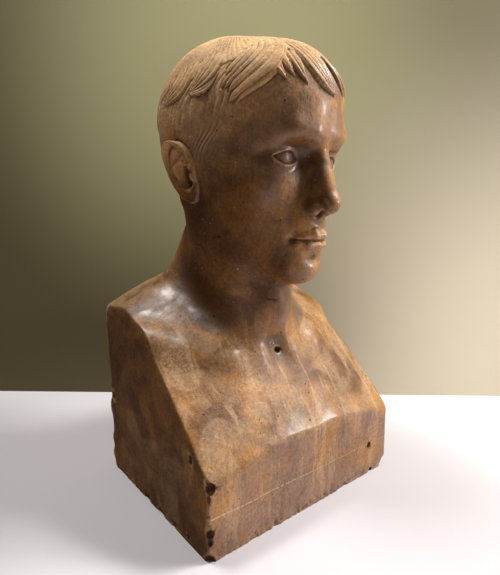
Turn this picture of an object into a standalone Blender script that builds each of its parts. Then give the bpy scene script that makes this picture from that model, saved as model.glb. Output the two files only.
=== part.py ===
"""Herm bust of a calm young ruler: head, neck, shoulders and square-cut block in one casting."""

import bpy
import numpy as np

# Sizes of the casting, in metres
BUST_HEIGHT = 0.570
BLOCK_WIDTH = 0.303
BLOCK_DEPTH = 0.249
FRONT_HEIGHT = 0.0865
SHOULDER_HEIGHT = 0.2365
HEAD_HEIGHT = 0.292
NECK_RADIUS = 0.070
HAIR_RISE = 0.0066
EDGE_CHIP = 0.0085

# Pose of the head, in radians
HEAD_TURN = np.radians(7.0)
HEAD_NOD = np.radians(6.5)

# Place of the head's centre line behind the middle of the block, in metres
HEAD_SET_BACK = 0.002

# Tilt of the hair's crown behind the top of the head, in radians
CROWN_TILT = np.radians(24.0)

# Grid of the modelled surface
FRONT_COLUMNS = 84
SIDE_COLUMNS = 46
BACK_COLUMNS = 34
WALL_ROWS = 20
CHEST_ROWS = 40
NECK_ROWS = 20
JAW_ROWS = 16
HEAD_ROWS = 118

# Triangles kept for the solid
SOLID_TRIANGLES = 9600


# Small helpers
def ease(t):
    """Smooth step from 0 to 1."""
    t = np.clip(t, 0.0, 1.0)
    return t * t * (3.0 - 2.0 * t)


def mix(a, b, t):
    """Straight blend from a to b."""
    return a + (b - a) * t


def join(a, b, k):
    """Smooth union of two distances with a fillet of size k."""
    h = np.maximum(k - np.abs(a - b), 0.0) / k
    return np.minimum(a, b) - h * h * k * 0.25


def carve(a, b, k):
    """Distance a with the shape of distance b carved out, with a fillet of size k."""
    return -join(-a, b, k)


def ball(p, c, r):
    """Distance to a ball."""
    return np.sqrt((p[0] - c[0]) ** 2 + (p[1] - c[1]) ** 2 + (p[2] - c[2]) ** 2) - r


def egg(p, c, r):
    """Distance to an upright ellipsoid, close to true near its surface."""
    x, y, z = (p[0] - c[0]) / r[0], (p[1] - c[1]) / r[1], (p[2] - c[2]) / r[2]
    k0 = np.sqrt(x * x + y * y + z * z) + 1e-9
    k1 = np.sqrt((x / r[0]) ** 2 + (y / r[1]) ** 2 + (z / r[2]) ** 2) + 1e-9
    return k0 * (k0 - 1.0) / k1


def tilted_egg(p, c, r, yaw=0.0, pitch=0.0):
    """Distance to an ellipsoid turned about the upright axis, then about the cross axis."""
    x, f, u = p[0] - c[0], p[1] - c[1], p[2] - c[2]
    x, f = np.cos(yaw) * x + np.sin(yaw) * f, np.cos(yaw) * f - np.sin(yaw) * x
    f, u = np.cos(pitch) * f + np.sin(pitch) * u, np.cos(pitch) * u - np.sin(pitch) * f
    return egg((x, f, u), (0.0, 0.0, 0.0), r)


def rod(p, a, b, ra, rb):
    """Distance to a round rod from a to b whose radius runs from ra to rb."""
    d = [b[i] - a[i] for i in range(3)]
    along = (p[0] - a[0]) * d[0] + (p[1] - a[1]) * d[1] + (p[2] - a[2]) * d[2]
    t = np.clip(along / (d[0] ** 2 + d[1] ** 2 + d[2] ** 2), 0.0, 1.0)
    x, y, z = p[0] - a[0] - t * d[0], p[1] - a[1] - t * d[1], p[2] - a[2] - t * d[2]
    return np.sqrt(x * x + y * y + z * z) - mix(ra, rb, t)


def chain(p, knots, radii, k):
    """Distance to rods joined end to end through the knots."""
    d = rod(p, knots[0], knots[1], radii[0], radii[1])
    for i in range(1, len(knots) - 1):
        d = join(d, rod(p, knots[i], knots[i + 1], radii[i], radii[i + 1]), k)
    return d


# Head, in head heights: x out to the side, f forward from the ear line, u up from the chin
def skull(p):
    """Rounded cranium: a broad back, a narrower forehead and the base over the nape."""
    d = egg(p, (0.0, -0.094, 0.630), (0.333, 0.339, 0.342))
    d = join(d, egg(p, (0.0, 0.132, 0.687), (0.284, 0.278, 0.252)), 0.08)
    return join(d, egg(p, (0.0, -0.170, 0.460), (0.230, 0.215, 0.200)), 0.10)


def face_mass(p):
    """Face from cheek to chin: mask, cheeks, jaw, chin, cheekbones and the mound of the teeth."""
    d = egg(p, (0.0, 0.125, 0.420), (0.230, 0.250, 0.330))
    d = join(d, egg(p, (0.0, 0.200, 0.250), (0.165, 0.190, 0.200)), 0.08)
    d = join(d, egg(p, (0.105, 0.150, 0.300), (0.118, 0.165, 0.190)), 0.08)
    d = join(d, egg(p, (0.150, 0.110, 0.340), (0.086, 0.150, 0.130)), 0.08)
    d = join(d, rod(p, (0.172, 0.030, 0.205), (0.060, 0.315, 0.085), 0.058, 0.064), 0.09)
    d = join(d, rod(p, (0.178, 0.000, 0.400), (0.172, 0.030, 0.205), 0.054, 0.048), 0.11)
    d = join(d, egg(p, (0.0, 0.338, 0.080), (0.085, 0.078, 0.076)), 0.05)
    d = join(d, tilted_egg(p, (0.165, 0.245, 0.415), (0.072, 0.068, 0.062), yaw=-0.5), 0.10)
    d = join(d, rod(p, (0.200, 0.190, 0.435), (0.232, 0.020, 0.450), 0.030, 0.030), 0.09)
    return join(d, egg(p, (0.0, 0.275, 0.215), (0.120, 0.140, 0.105)), 0.07)


def brow(p):
    """Ridge over the eyes, easing away towards the temple."""
    knots = [(0.0, 0.360, 0.588), (0.060, 0.364, 0.590), (0.125, 0.344, 0.592), (0.185, 0.290, 0.575), (0.215, 0.240, 0.548)]
    return chain(p, knots, [0.034, 0.034, 0.032, 0.026, 0.020], 0.04)


def eye(p, d):
    """Socket, then two lids over a plain ball with an almond gap between them."""
    x, u = p[0], p[2]
    d = carve(d, tilted_egg(p, (0.128, 0.404, 0.508), (0.088, 0.070, 0.050), yaw=-0.25), 0.050)
    centre = (0.135, 0.277, 0.494)
    s = (x - 0.0715) / 0.1310
    sc = np.clip(s, 0.0, 1.0)
    upper = 0.489 + 0.010 * sc + 0.0300 * np.sin(np.pi * sc ** 0.80) ** 0.9
    lower = 0.489 + 0.010 * sc - 0.0215 * np.sin(np.pi * sc ** 1.25) ** 0.9
    gap = np.maximum(u - upper, lower - u)
    gap = np.maximum(gap, np.maximum(-s, s - 1.0) * 0.12)
    lids = carve(ball(p, centre, 0.0735), gap, 0.006)
    d = join(d, lids, 0.018)
    return join(d, ball(p, centre, 0.0645), 0.004)


def nose(p):
    """Bridge, flanks, tip, the strut between the nostrils and the wings."""
    d = rod(p, (0.0, 0.372, 0.560), (0.0, 0.392, 0.500), 0.031, 0.026)
    d = join(d, rod(p, (0.0, 0.392, 0.500), (0.0, 0.452, 0.360), 0.0265, 0.030), 0.02)
    d = join(d, tilted_egg(p, (0.0, 0.372, 0.395), (0.060, 0.085, 0.125), pitch=0.33), 0.025)
    d = join(d, ball(p, (0.0, 0.460, 0.345), 0.0375), 0.02)
    d = join(d, rod(p, (0.0, 0.475, 0.322), (0.0, 0.425, 0.298), 0.0145, 0.0135), 0.012)
    return join(d, rod(p, (0.0385, 0.416, 0.323), (0.048, 0.345, 0.335), 0.0300, 0.0300), 0.016)


def nostril(p, d):
    """Opening under each wing."""
    return carve(d, tilted_egg(p, (0.0265, 0.440, 0.296), (0.0135, 0.028, 0.020), yaw=-0.28), 0.010)


def lips(p, d):
    """Groove under the nose, both lips, the line between them and the hollow over the chin."""
    top = [(0.0, 0.4165, 0.2130), (0.022, 0.4185, 0.2160), (0.060, 0.3950, 0.2075), (0.104, 0.3520, 0.1950)]
    low = [(0.0, 0.4110, 0.1770), (0.040, 0.4010, 0.1780), (0.075, 0.3770, 0.1835), (0.101, 0.3500, 0.1930)]
    cut = [(0.0, 0.4400, 0.1975), (0.050, 0.4230, 0.1975), (0.104, 0.3700, 0.1945)]
    both = join(chain(p, top, [0.0170, 0.0180, 0.0145, 0.0060], 0.012),
                chain(p, low, [0.0240, 0.0215, 0.0140, 0.0060], 0.012), 0.006)
    d = carve(d, rod(p, (0.0, 0.452, 0.285), (0.0, 0.452, 0.238), 0.011, 0.013), 0.022)
    d = join(d, both, 0.018)
    d = carve(d, chain(p, cut, [0.0055, 0.0055, 0.0040], 0.004), 0.012)
    d = carve(d, egg(p, (0.0, 0.449, 0.130), (0.075, 0.044, 0.022)), 0.035)
    return carve(d, ball(p, (0.112, 0.372, 0.1940), 0.006), 0.030)


EAR_PLACE = (-0.058, 0.408)
EAR_LENGTH = 0.245
EAR_LEAN = 0.20
EAR_STAND = 0.15


def flat_egg(a, b, c, r):
    """Distance in the ear's plane to an ellipse, close to true near its line."""
    x, y = (a - c[0]) / r[0], (b - c[1]) / r[1]
    k0 = np.sqrt(x * x + y * y) + 1e-9
    return k0 * (k0 - 1.0) / (np.sqrt((x / r[0]) ** 2 + (y / r[1]) ** 2) + 1e-9)


def path_distance(a, b, knots):
    """Distance in the ear's plane to a bent line."""
    best = np.full(np.shape(a), 9.0)
    for p, q in zip(knots[:-1], knots[1:]):
        d = (q[0] - p[0], q[1] - p[1])
        t = np.clip(((a - p[0]) * d[0] + (b - p[1]) * d[1]) / (d[0] ** 2 + d[1] ** 2), 0.0, 1.0)
        best = np.minimum(best, np.hypot(a - p[0] - t * d[0], b - p[1] - t * d[1]))
    return best


def ear_height(x, f, u):
    """Relief of the ear over the side of the head, in metres: a up the ear, b towards its back edge."""
    f, u = f - EAR_PLACE[0], u - EAR_PLACE[1]
    a = (np.cos(EAR_LEAN) * u - np.sin(EAR_LEAN) * f) / EAR_LENGTH
    b = (-np.sin(EAR_LEAN) * u - np.cos(EAR_LEAN) * f) / EAR_LENGTH
    near = (np.abs(x) > 0.15) & (np.abs(a) < 0.65) & (np.abs(b) < 0.5)
    out = np.zeros(np.shape(a))
    if not near.any():
        return out
    a, b = a[near], b[near]
    shape = join(flat_egg(a, b, (0.11, 0.025), (0.385, 0.275)), flat_egg(a, b, (-0.20, 0.0), (0.245, 0.205)), 0.10)
    shape = join(shape, flat_egg(a, b, (-0.37, -0.045), (0.125, 0.115)), 0.06)
    plane = 0.045 + EAR_STAND * ease((b + 0.26) / 0.50) * (0.62 + 0.38 * ease((a + 0.42) / 0.40))
    rim = np.exp(-((shape + 0.050) / 0.036) ** 2) * ease((a + 0.42) / 0.25) * ease((b + 0.16 + 0.5 * np.clip(a, 0.0, 1.0)) / 0.10)
    trough = np.exp(-((shape + 0.115) / 0.032) ** 2) * ease((a + 0.25) / 0.2) * ease((b + 0.02) / 0.10)
    fold = path_distance(a, b, [(0.33, 0.02), (0.20, 0.105), (0.05, 0.140), (-0.10, 0.115), (-0.20, 0.045), (-0.235, -0.045)])
    fold = np.exp(-(fold / 0.042) ** 2)
    branch = np.exp(-(path_distance(a, b, [(0.24, -0.08), (0.15, 0.02), (0.08, 0.12)]) / 0.034) ** 2)
    bowl = ease(0.5 - flat_egg(a, b, (-0.055, -0.015), (0.165, 0.115)) / 0.09)
    root = np.exp(-(path_distance(a, b, [(0.02, -0.02), (0.035, -0.12), (0.12, -0.20)]) / 0.026) ** 2)
    knob = np.exp(-(flat_egg(a, b, (-0.075, -0.165), (0.050, 0.020)) + 0.02) ** 2 / 0.032 ** 2)
    bump = np.exp(-((a + 0.205) ** 2 + (b + 0.02) ** 2) / 0.045 ** 2)
    height = plane + 0.060 * rim - 0.045 * trough + 0.040 * fold + 0.020 * branch
    height = height - 0.200 * bowl + 0.030 * root + 0.060 * knob + 0.025 * bump
    height = np.maximum(height, 0.004) * ease(0.5 - (shape + 0.004) / 0.050)
    out[near] = height * EAR_LENGTH * HEAD_HEIGHT
    return out


def bare_head(p):
    """Head without ears or hair."""
    d = join(skull(p), face_mass(p), 0.09)
    d = join(d, brow(p), 0.075)
    d = eye(p, d)
    d = join(d, nose(p), 0.026)
    return lips(p, nostril(p, d))


HEAD_PIVOT = 0.43 * HEAD_HEIGHT
CHIN_LEVEL = BUST_HEIGHT - HAIR_RISE - 0.9675 * HEAD_HEIGHT


def to_head(x, y, z):
    """Casting frame to head heights: x to the bust's left, f forward, u up from the chin."""
    y, z = y - HEAD_SET_BACK, z - CHIN_LEVEL - HEAD_PIVOT
    side = np.cos(HEAD_TURN) * x + np.sin(HEAD_TURN) * y
    ahead = np.sin(HEAD_TURN) * x - np.cos(HEAD_TURN) * y
    f = np.cos(HEAD_NOD) * ahead - np.sin(HEAD_NOD) * z
    u = np.sin(HEAD_NOD) * ahead + np.cos(HEAD_NOD) * z + HEAD_PIVOT
    return side / HEAD_HEIGHT, f / HEAD_HEIGHT, u / HEAD_HEIGHT


def from_head(x, f, u):
    """Head heights to the casting frame."""
    x, f, u = x * HEAD_HEIGHT, f * HEAD_HEIGHT, u * HEAD_HEIGHT - HEAD_PIVOT
    ahead = np.cos(HEAD_NOD) * f + np.sin(HEAD_NOD) * u
    z = np.cos(HEAD_NOD) * u - np.sin(HEAD_NOD) * f
    px = np.cos(HEAD_TURN) * x + np.sin(HEAD_TURN) * ahead
    py = np.sin(HEAD_TURN) * x - np.cos(HEAD_TURN) * ahead
    return px, py + HEAD_SET_BACK, z + CHIN_LEVEL + HEAD_PIVOT


# Chest, shoulders and neck, in metres
CLIMB = SHOULDER_HEIGHT - FRONT_HEIGHT


def roof(x, y):
    """Height of chest, shoulders and upper back over the block's plan."""
    back = y / BLOCK_DEPTH + 0.5
    arch = 0.054 * np.sin(np.pi * np.clip(back / 0.62, 0.0, 1.0))
    ramp = FRONT_HEIGHT + CLIMB * (back / 0.70 + arch)
    slope = join(ramp, SHOULDER_HEIGHT - 0.04 * CLIMB * ease((back - 0.75) / 0.25), 0.15 * CLIMB)
    across = 2.0 * np.abs(x) / BLOCK_WIDTH
    lift = (0.097 + 0.225 * np.clip(back / 0.36, 0.0, 1.0)) * (1.0 - np.clip(across, 0.0, 1.0) ** 1.7)
    swell = 0.024 * np.exp(-((across - 0.41) / 0.30) ** 2 - ((back - 0.12) / 0.20) ** 2)
    furrow = 0.011 * np.exp(-(across / 0.086) ** 2) * np.clip((0.32 - back) / 0.12, 0.0, 1.0)
    return slope + CLIMB * (lift + swell - furrow)


def over_plan(across, back, drop):
    """Point over the plan: shares of half the width and of the depth, and a drop below the roof in climbs."""
    x, y = across * BLOCK_WIDTH / 2, (back - 0.5) * BLOCK_DEPTH
    return (x, y, float(roof(np.array(x), np.array(y))) - drop * CLIMB)


NOTCH = over_plan(-0.05, 0.27, 0.070)
NECK_FOOT = (0.0, 0.13 * BLOCK_DEPTH, SHOULDER_HEIGHT - 0.30 * CLIMB)
NECK_TOP = from_head(0.0, -0.055, 0.40)
NECK_SQUEEZE = 0.94


def shoulders(x, y, z):
    """Body under the roof, with the collarbones laid over it."""
    bones = [over_plan(0.22, 0.300, 0.190), over_plan(0.45, 0.315, 0.092), over_plan(0.72, 0.430, 0.080), over_plan(0.99, 0.60, 0.070)]
    thick = 0.058 * CLIMB
    d = (z - roof(x, y)) * 0.72
    return join(d, chain((np.abs(x), y, z), bones, [0.8 * thick, 0.92 * thick, 0.92 * thick, 0.9 * thick], 0.01), 0.030)


def neck(x, y, z):
    """Column, the two cords from ear to notch, the back muscles and the throat."""
    p = (x, y, z)
    slim = (x / NECK_SQUEEZE, y, z)
    r = NECK_RADIUS
    waist = [mix(NECK_FOOT[i], NECK_TOP[i], 0.52) for i in range(3)]
    waist[1] -= 0.14 * r
    d = rod(slim, NECK_FOOT, waist, 1.08 * r, 1.00 * r)
    d = join(d, rod(slim, waist, NECK_TOP, 1.00 * r, 0.96 * r), 0.3 * r)
    for side in (-1.0, 1.0):
        low = (NOTCH[0] + 0.38 * r * side, NOTCH[1] + 0.18 * r, NOTCH[2] + 0.04 * r)
        middle = [mix(low[i], from_head(0.175 * side, -0.060, 0.27)[i], 0.45) for i in range(3)]
        cord = chain(p, [from_head(0.190 * side, -0.105, 0.30), middle, low], [0.16 * r, 0.11 * r, 0.10 * r], 0.1 * r)
        d = join(d, cord, 0.60 * r)
    high = (0.40 * r, 0.26 * BLOCK_DEPTH, SHOULDER_HEIGHT + 0.50 * CLIMB)
    out = (0.264 * BLOCK_WIDTH, 0.29 * BLOCK_DEPTH, SHOULDER_HEIGHT + 0.03 * CLIMB)
    d = join(d, rod((np.abs(x), y, z), high, out, 0.40 * r, 0.225 * r), 0.42 * r)
    throat = (0.5 * NOTCH[0], NECK_FOOT[1] - 1.20 * r, mix(NOTCH[2], CHIN_LEVEL, 0.60))
    return join(d, egg(p, throat, (0.24 * r, 0.22 * r, 0.46 * r)), 0.5 * r)


def casting(x, y, z):
    """Whole form above the block, without ears or hair."""
    hx, hf, hu = to_head(x, y, z)
    p = (np.abs(hx), hf, hu)
    d = join(bare_head(p) * HEAD_HEIGHT, neck(x, y, z), 0.26 * NECK_RADIUS)
    d = join(d, shoulders(x, y, z), 0.34 * NECK_RADIUS)
    hollow = (NOTCH[0], NOTCH[1] - 0.26 * NECK_RADIUS, NOTCH[2] + 0.17 * NECK_RADIUS)
    return carve(d, ball((x, y, z), hollow, 0.10 * NECK_RADIUS), 0.34 * NECK_RADIUS)


# Hair, as a height over the scalp in a flat chart round the crown
HAIR_CENTRE = (0.0, -0.02, 0.60)


def hair_chart(x, f, u):
    """Angles from the crown, laid out flat: forward and to the left."""
    x, f, u = x - HAIR_CENTRE[0], f - HAIR_CENTRE[1], u - HAIR_CENTRE[2]
    size = np.sqrt(x * x + f * f + u * u) + 1e-9
    up = (np.cos(CROWN_TILT) * u - np.sin(CROWN_TILT) * f) / size
    ahead = np.cos(CROWN_TILT) * f + np.sin(CROWN_TILT) * u
    far = np.arccos(np.clip(up, -1.0, 1.0))
    turn = np.arctan2(x, ahead)
    return far * np.cos(turn), far * np.sin(turn)


def chart_point(far, degrees):
    """Chart point a given angle from the crown, in a given direction."""
    return np.array([far * np.cos(np.radians(degrees)), far * np.sin(np.radians(degrees))])


def lock_height(a, b, lock, phase, teeth):
    """Height of one bent tongue of hair, raised on its outer side, and the furrows between its strands."""
    p0, p1, p2, wide, blunt, strands, top = lock
    bits = 25
    t = np.linspace(0.0, 1.0, bits + 1)[:, None]
    line = (1.0 - t) ** 2 * p0 + 2.0 * t * (1.0 - t) * p1 + t ** 2 * p2
    reach = max(wide) + 0.03
    body, furrow = np.zeros(a.shape), np.zeros(a.shape)
    near = (a > line[:, 0].min() - reach) & (a < line[:, 0].max() + reach)
    near &= (b > line[:, 1].min() - reach) & (b < line[:, 1].max() + reach)
    if not near.any():
        return body, furrow
    a, b = a[near], b[near]
    best, s, q = np.full(a.shape, 9.0), np.zeros(a.shape), np.zeros(a.shape)
    for k in range(bits):
        d = line[k + 1] - line[k]
        size = float(d @ d)
        da, db = a - line[k][0], b - line[k][1]
        m = np.clip((da * d[0] + db * d[1]) / size, -0.6 if k == 0 else 0.0, 4.0 if k == bits - 1 else 1.0)
        gap = (da - m * d[0]) ** 2 + (db - m * d[1]) ** 2
        better = gap < best
        best = np.where(better, gap, best)
        s = np.where(better, (k + m) / bits, s)
        q = np.where(better, (d[0] * db - d[1] * da) / np.sqrt(size), q)
    w = np.where(s < 0.6, mix(wide[0], wide[1], ease(s / 0.6)), mix(wide[1], wide[2], ease((s - 0.6) / 0.4)))
    bend = p1 - p0
    outer = -np.sign(bend[0] * (p2 - p1)[1] - bend[1] * (p2 - p1)[0])
    q = outer * q / w
    edge = np.sqrt(np.clip(1.0 - q ** 6, 0.0, 1.0)) * (0.58 + 0.28 * ease(0.5 * q + 0.6) + 0.20 * np.exp(-((q - 0.84) / 0.13) ** 2))
    across = strands * (0.5 * (q + 1.0) + 0.035 * np.sin(5.0 * q + 2.0 * phase)) + phase
    ridge = np.abs(np.sin(np.pi * across))
    hairs = np.abs(np.sin(np.pi * (3.0 * across + 0.15 * np.sin(9.0 * s + 2.0 * phase))))
    stagger = 0.030 * np.sin(4.1 * np.floor(across) + phase)
    tip = 1.0 - (1.0 - blunt) * 0.30 * ease((s - 0.75) / 0.25)
    end = ease((1.03 - s - teeth * (blunt * (1.0 - ridge) * 0.05 + stagger) - 0.05 * q ** 2) / 0.05)
    height = top * HAIR_RISE * (0.30 + 0.70 * ease(s / 0.8)) * edge * end * tip
    inside = (np.abs(q) < 1.0) & (s > -0.02)
    lines = (1.0 - ridge) ** 1.4 * (0.45 + 0.55 * ease(s)) + 0.30 * (1.0 - hairs)
    body[near] = np.where(inside, height, 0.0)
    furrow[near] = np.where(inside, lines * ease((s + 0.15) / 0.3), 0.0)
    return body, furrow


def locks():
    """Every lock: start, bend and end in the chart, half widths, blunt end or not, strands, share of the hair's rise."""
    found = []

    def add(start, bend, end, wide, blunt, strands, top):
        found.append((chart_point(*start), chart_point(*bend), chart_point(*end), wide, blunt, strands, top))

    broad, middle, slim = (0.18, 0.27, 0.20), (0.13, 0.23, 0.12), (0.05, 0.072, 0.014)
    for k in range(7):
        turn = -108 + 36 * k
        away = 1 - 2 * (k > 3)
        add((0.20, turn + 6 * away), (0.94, turn + 15 * away), (1.10, turn - 19 * away), (0.16, 0.28, 0.10), 0, 6, 0.40)
    add((0.30, -95), (1.28, -78), (1.22, -111), (0.13, 0.21, 0.06), 0, 5, 0.64)
    add((0.30, -56), (1.20, -54), (1.27, -83), (0.15, 0.23, 0.05), 0, 5, 0.70)
    add((1.02, -53), (1.50, -63), (1.29, -84), (0.03, 0.042, 0.02), 0, 1, 0.85)
    add((0.34, -30), (1.54, -17), (1.46, -56), broad, 1, 6, 0.78)
    add((0.70, -24), (1.44, -30), (1.55, -25), slim, 0, 2, 0.61)
    add((0.70, -20), (1.40, -25), (1.54, -21), slim, 0, 2, 0.58)
    add((0.75, -14), (1.46, -21), (1.61, -15), slim, 0, 2, 0.58)
    add((0.35, -18), (1.59, -13), (1.67, 2), (0.12, 0.18, 0.03), 0, 5, 0.70)
    add((0.35, 6), (1.46, 2), (1.64, 13), (0.09, 0.13, 0.02), 0, 3, 0.61)
    add((0.35, 20), (1.42, 17), (1.58, 29), (0.10, 0.15, 0.03), 0, 4, 0.67)
    add((0.34, 32), (1.50, 22), (1.38, 58), broad, 1, 6, 0.73)
    add((0.30, 66), (1.22, 56), (1.26, 88), (0.14, 0.24, 0.08), 0, 5, 0.67)
    add((0.30, 100), (1.12, 86), (1.20, 116), (0.13, 0.23, 0.10), 0, 5, 0.61)
    for k in range(4):
        away = 1 - 2 * (k > 1)
        turn = 133 + 31 * k
        add((0.32, turn), (1.16, turn - 4 * away), (1.24 + 0.05 * (k % 2), turn + 16 * away), middle, 0, 5, 0.61)
    for k in range(9):
        turn = -160 + 40.0 * k
        add((0.02, turn - 40), (0.42, turn - 30), (0.66, turn + 14), (0.02, 0.17, 0.05), 0, 4, 0.42)
    return found


def crop_mask(x, f, u):
    """1 where the hair is cropped close, below the locks and inside the hairline."""
    line = 0.24 - 0.16 * ease((0.80 - u) / 0.36) + 0.010 * np.sin(22.0 * u)
    low = ease((u - 0.30) / 0.04)
    nape = ease((u - 0.22 - 0.35 * np.clip(f + 0.25, 0.0, 1.0)) / 0.05)
    return ease((line - f) / 0.05) * np.where(f > -0.02, low, nape)


def hair_height(x, f, u, groove, crop):
    """Height of the hair over a point of the head: locks laid over a cap, cropped lines below."""
    a, b = hair_chart(x, f, u)
    far, turn = np.hypot(a, b), np.arctan2(b, a)
    rim = 1.10 + 0.25 * np.exp(-(np.degrees(turn) / 52.0) ** 2)
    body = 0.36 * HAIR_RISE * ease((rim - far) / 0.05)
    swirl = 17.0 * turn + 2.6 * far + 1.5 * np.sin(3.0 * turn + 4.0 * far)
    furrow = (1.0 - np.abs(np.sin(np.pi * swirl))) ** 1.4 * ease(far / 0.2)
    furrow = 0.45 * furrow * ease((rim - far) / 0.08)
    for i, lock in enumerate(locks()):
        over, lines = lock_height(a, b, lock, 0.37 * i, ease(groove / 0.0006))
        furrow = np.where(over > body, lines * (0.5 + 0.5 * (lock[6] > 0.5)), furrow)
        body = np.maximum(over, body)
    lean = 0.2 + 0.8 * ease((f + 0.12) / 0.18)
    meridian = np.arctan2(np.abs(x), f + 0.12) + lean * (u - 0.6)
    bend = 0.55 * np.sin(24.0 * u + 6.0 * meridian) + 0.22 * np.sin(53.0 * u + 9.0 * meridian) + 0.8 * np.sin(5.0 * meridian + 3.0)
    fine = np.abs(np.sin(np.pi * (15.0 * meridian + bend)))
    strength = 0.60 + 0.40 * np.sin(9.0 * meridian + 15.0 * u + 1.0) * np.sin(11.0 * u - 7.0 * meridian)
    strength = strength * (0.45 + 0.55 * ease((f + 0.10) / 0.10) + 0.3 * ease((-0.25 - f) / 0.1))
    cropped = crop * crop_mask(x, f, u) * (0.8 + strength * (fine - 0.7))
    height = np.maximum(body - groove * furrow * ease(body / 0.0012), cropped * ease(1.0 - body / 0.0012))
    beside = f - EAR_PLACE[0] - EAR_LEAN * (u - EAR_PLACE[1])
    on_ear = ease(1.45 - np.hypot(beside / 0.080, (u - EAR_PLACE[1]) / 0.120)) * (np.abs(x) > 0.20)
    return height * (1.0 - on_ear) * (u > 0.15)


# Grid of rays that finds the surface
def column_angles(front, side, back):
    """Angle of each column round the casting, with one exactly on each vertical edge of the block."""
    corner = np.arctan2(BLOCK_WIDTH, BLOCK_DEPTH)
    return np.concatenate([np.linspace(-corner, corner, front, endpoint=False),
                           np.linspace(corner, np.pi - corner, side, endpoint=False),
                           np.linspace(np.pi - corner, np.pi + corner, back, endpoint=False),
                           np.linspace(np.pi + corner, 2.0 * np.pi - corner, side, endpoint=False)])


def outward(angle, rise):
    """Unit direction for an angle round the casting and a rise above level."""
    return np.stack([np.cos(rise) * np.sin(angle), -np.cos(rise) * np.cos(angle), np.sin(rise)], -1)


def block_outline(angle):
    """Point of the block's plan in the direction of a column."""
    dx, dy = np.sin(angle), -np.cos(angle)
    k = np.minimum(BLOCK_WIDTH / 2 / np.maximum(np.abs(dx), 1e-9), BLOCK_DEPTH / 2 / np.maximum(np.abs(dy), 1e-9))
    return k * dx, k * dy


def head_way(angle, polar, tilt):
    """Unit direction from the head's centre, by column and by angle from the crown, tilted back near the crown."""
    x, f, u = np.sin(angle) * np.sin(polar), np.cos(angle) * np.sin(polar), np.cos(polar)
    f, u = np.cos(tilt) * f - np.sin(tilt) * u, np.sin(tilt) * f + np.cos(tilt) * u
    way = np.stack(from_head(x, f, u), -1) - np.array(from_head(0.0, 0.0, 0.0))
    return way / np.linalg.norm(way, axis=-1, keepdims=True)


def rays(angle, rows):
    """Start, direction and reach of the rays: chest, neck, under the jaw, then the head up to its crown."""
    chest, neck_rows, jaw, head = rows
    ahead = np.cos(angle)
    front = ease((ahead + 1.0) / 2.0)
    deep = 0.74 * NECK_RADIUS
    starts, ways, near, far = [], [], [], []
    px, py = block_outline(angle)
    foot_x = 1.3 * NECK_RADIUS * np.sin(angle)
    foot_y = 0.82 * NECK_FOOT[1] - mix(0.94, 1.26, front) * NECK_RADIUS * ahead
    foot_z = mix(SHOULDER_HEIGHT + 0.18 * CLIMB, NOTCH[2] + 0.16 * CLIMB, front)
    foot_rise = np.radians(mix(42.0, 30.0, front))
    s = np.arange(1, chest + 1)[:, None] / chest
    x, y = mix(px, foot_x, s), mix(py, foot_y, s)
    ground = roof(x, y)
    z = mix(ground, np.maximum(foot_z, ground), ease((s - 0.55) / 0.45))
    way = outward(angle + 0.0 * s, mix(np.pi / 2, foot_rise, ease(s)))
    starts.append(np.stack([x, y, z], -1) - deep * way)
    ways.append(way)
    near.append(np.zeros(x.shape))
    far.append(np.full(x.shape, 1.9 * deep))
    top_rise = np.radians(mix(-2.0, -38.0, ease((ahead + 0.55) / 1.3)))
    top_z = CHIN_LEVEL + NECK_RADIUS * mix(0.72, -0.15, ease((ahead + 0.65) / 1.45))
    collar = starts[-1][-1] + deep * way[-1]
    middle = mix(NECK_FOOT[1], NECK_TOP[1], 0.75)
    top = np.stack([0.97 * NECK_RADIUS * np.sin(angle), middle - 0.97 * NECK_RADIUS * ahead, top_z], -1)
    s = np.arange(1, neck_rows + 1)[:, None] / neck_rows
    way = outward(angle + HEAD_TURN * s, mix(foot_rise, top_rise, ease(s)))
    starts.append(mix(collar, top, s[..., None]) - deep * way)
    ways.append(way)
    near.append(np.zeros(way.shape[:2]))
    far.append(np.full(way.shape[:2], 1.9 * deep))
    centre = np.array(from_head(0.0, -0.005, 0.36))
    low = np.radians(mix(104.0, 140.0, ease((ahead + 0.53) / 1.53)))
    reach = HEAD_HEIGHT * mix(0.272, 0.472, ease((ahead + 0.3) / 1.3))
    first = centre + head_way(angle, low, 0.0) * reach[:, None]
    last = starts[-1][-1] + deep * way[-1]
    s = (np.arange(1, jaw + 1) / jaw)[:, None, None]
    begin = mix(starts[-1][-1], centre, s)
    way = mix(last, first, s) - begin
    size = np.linalg.norm(way, axis=-1)
    starts.append(begin)
    ways.append(way / size[..., None])
    near.append(np.zeros(size.shape))
    far.append(size + 0.9 * deep)
    s = np.arange(1, head + 1)[:, None] / head
    polar = low * (1.0 - s)
    way = head_way(angle, polar, np.radians(16.0) * ease((s - 0.35) / 0.65))
    climb = np.array(from_head(0.0, -0.005, 0.56)) - centre
    starts.append(centre + climb * ease(s / 0.6)[..., None] + 0.0 * way)
    ways.append(way)
    near.append(np.full(polar.shape, 0.07 * HEAD_HEIGHT))
    far.append(mix(reach + 0.9 * deep, 0.72 * HEAD_HEIGHT, ease(s / 0.3)))
    return np.concatenate(starts), np.concatenate(ways), np.concatenate(near), np.concatenate(far)


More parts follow.
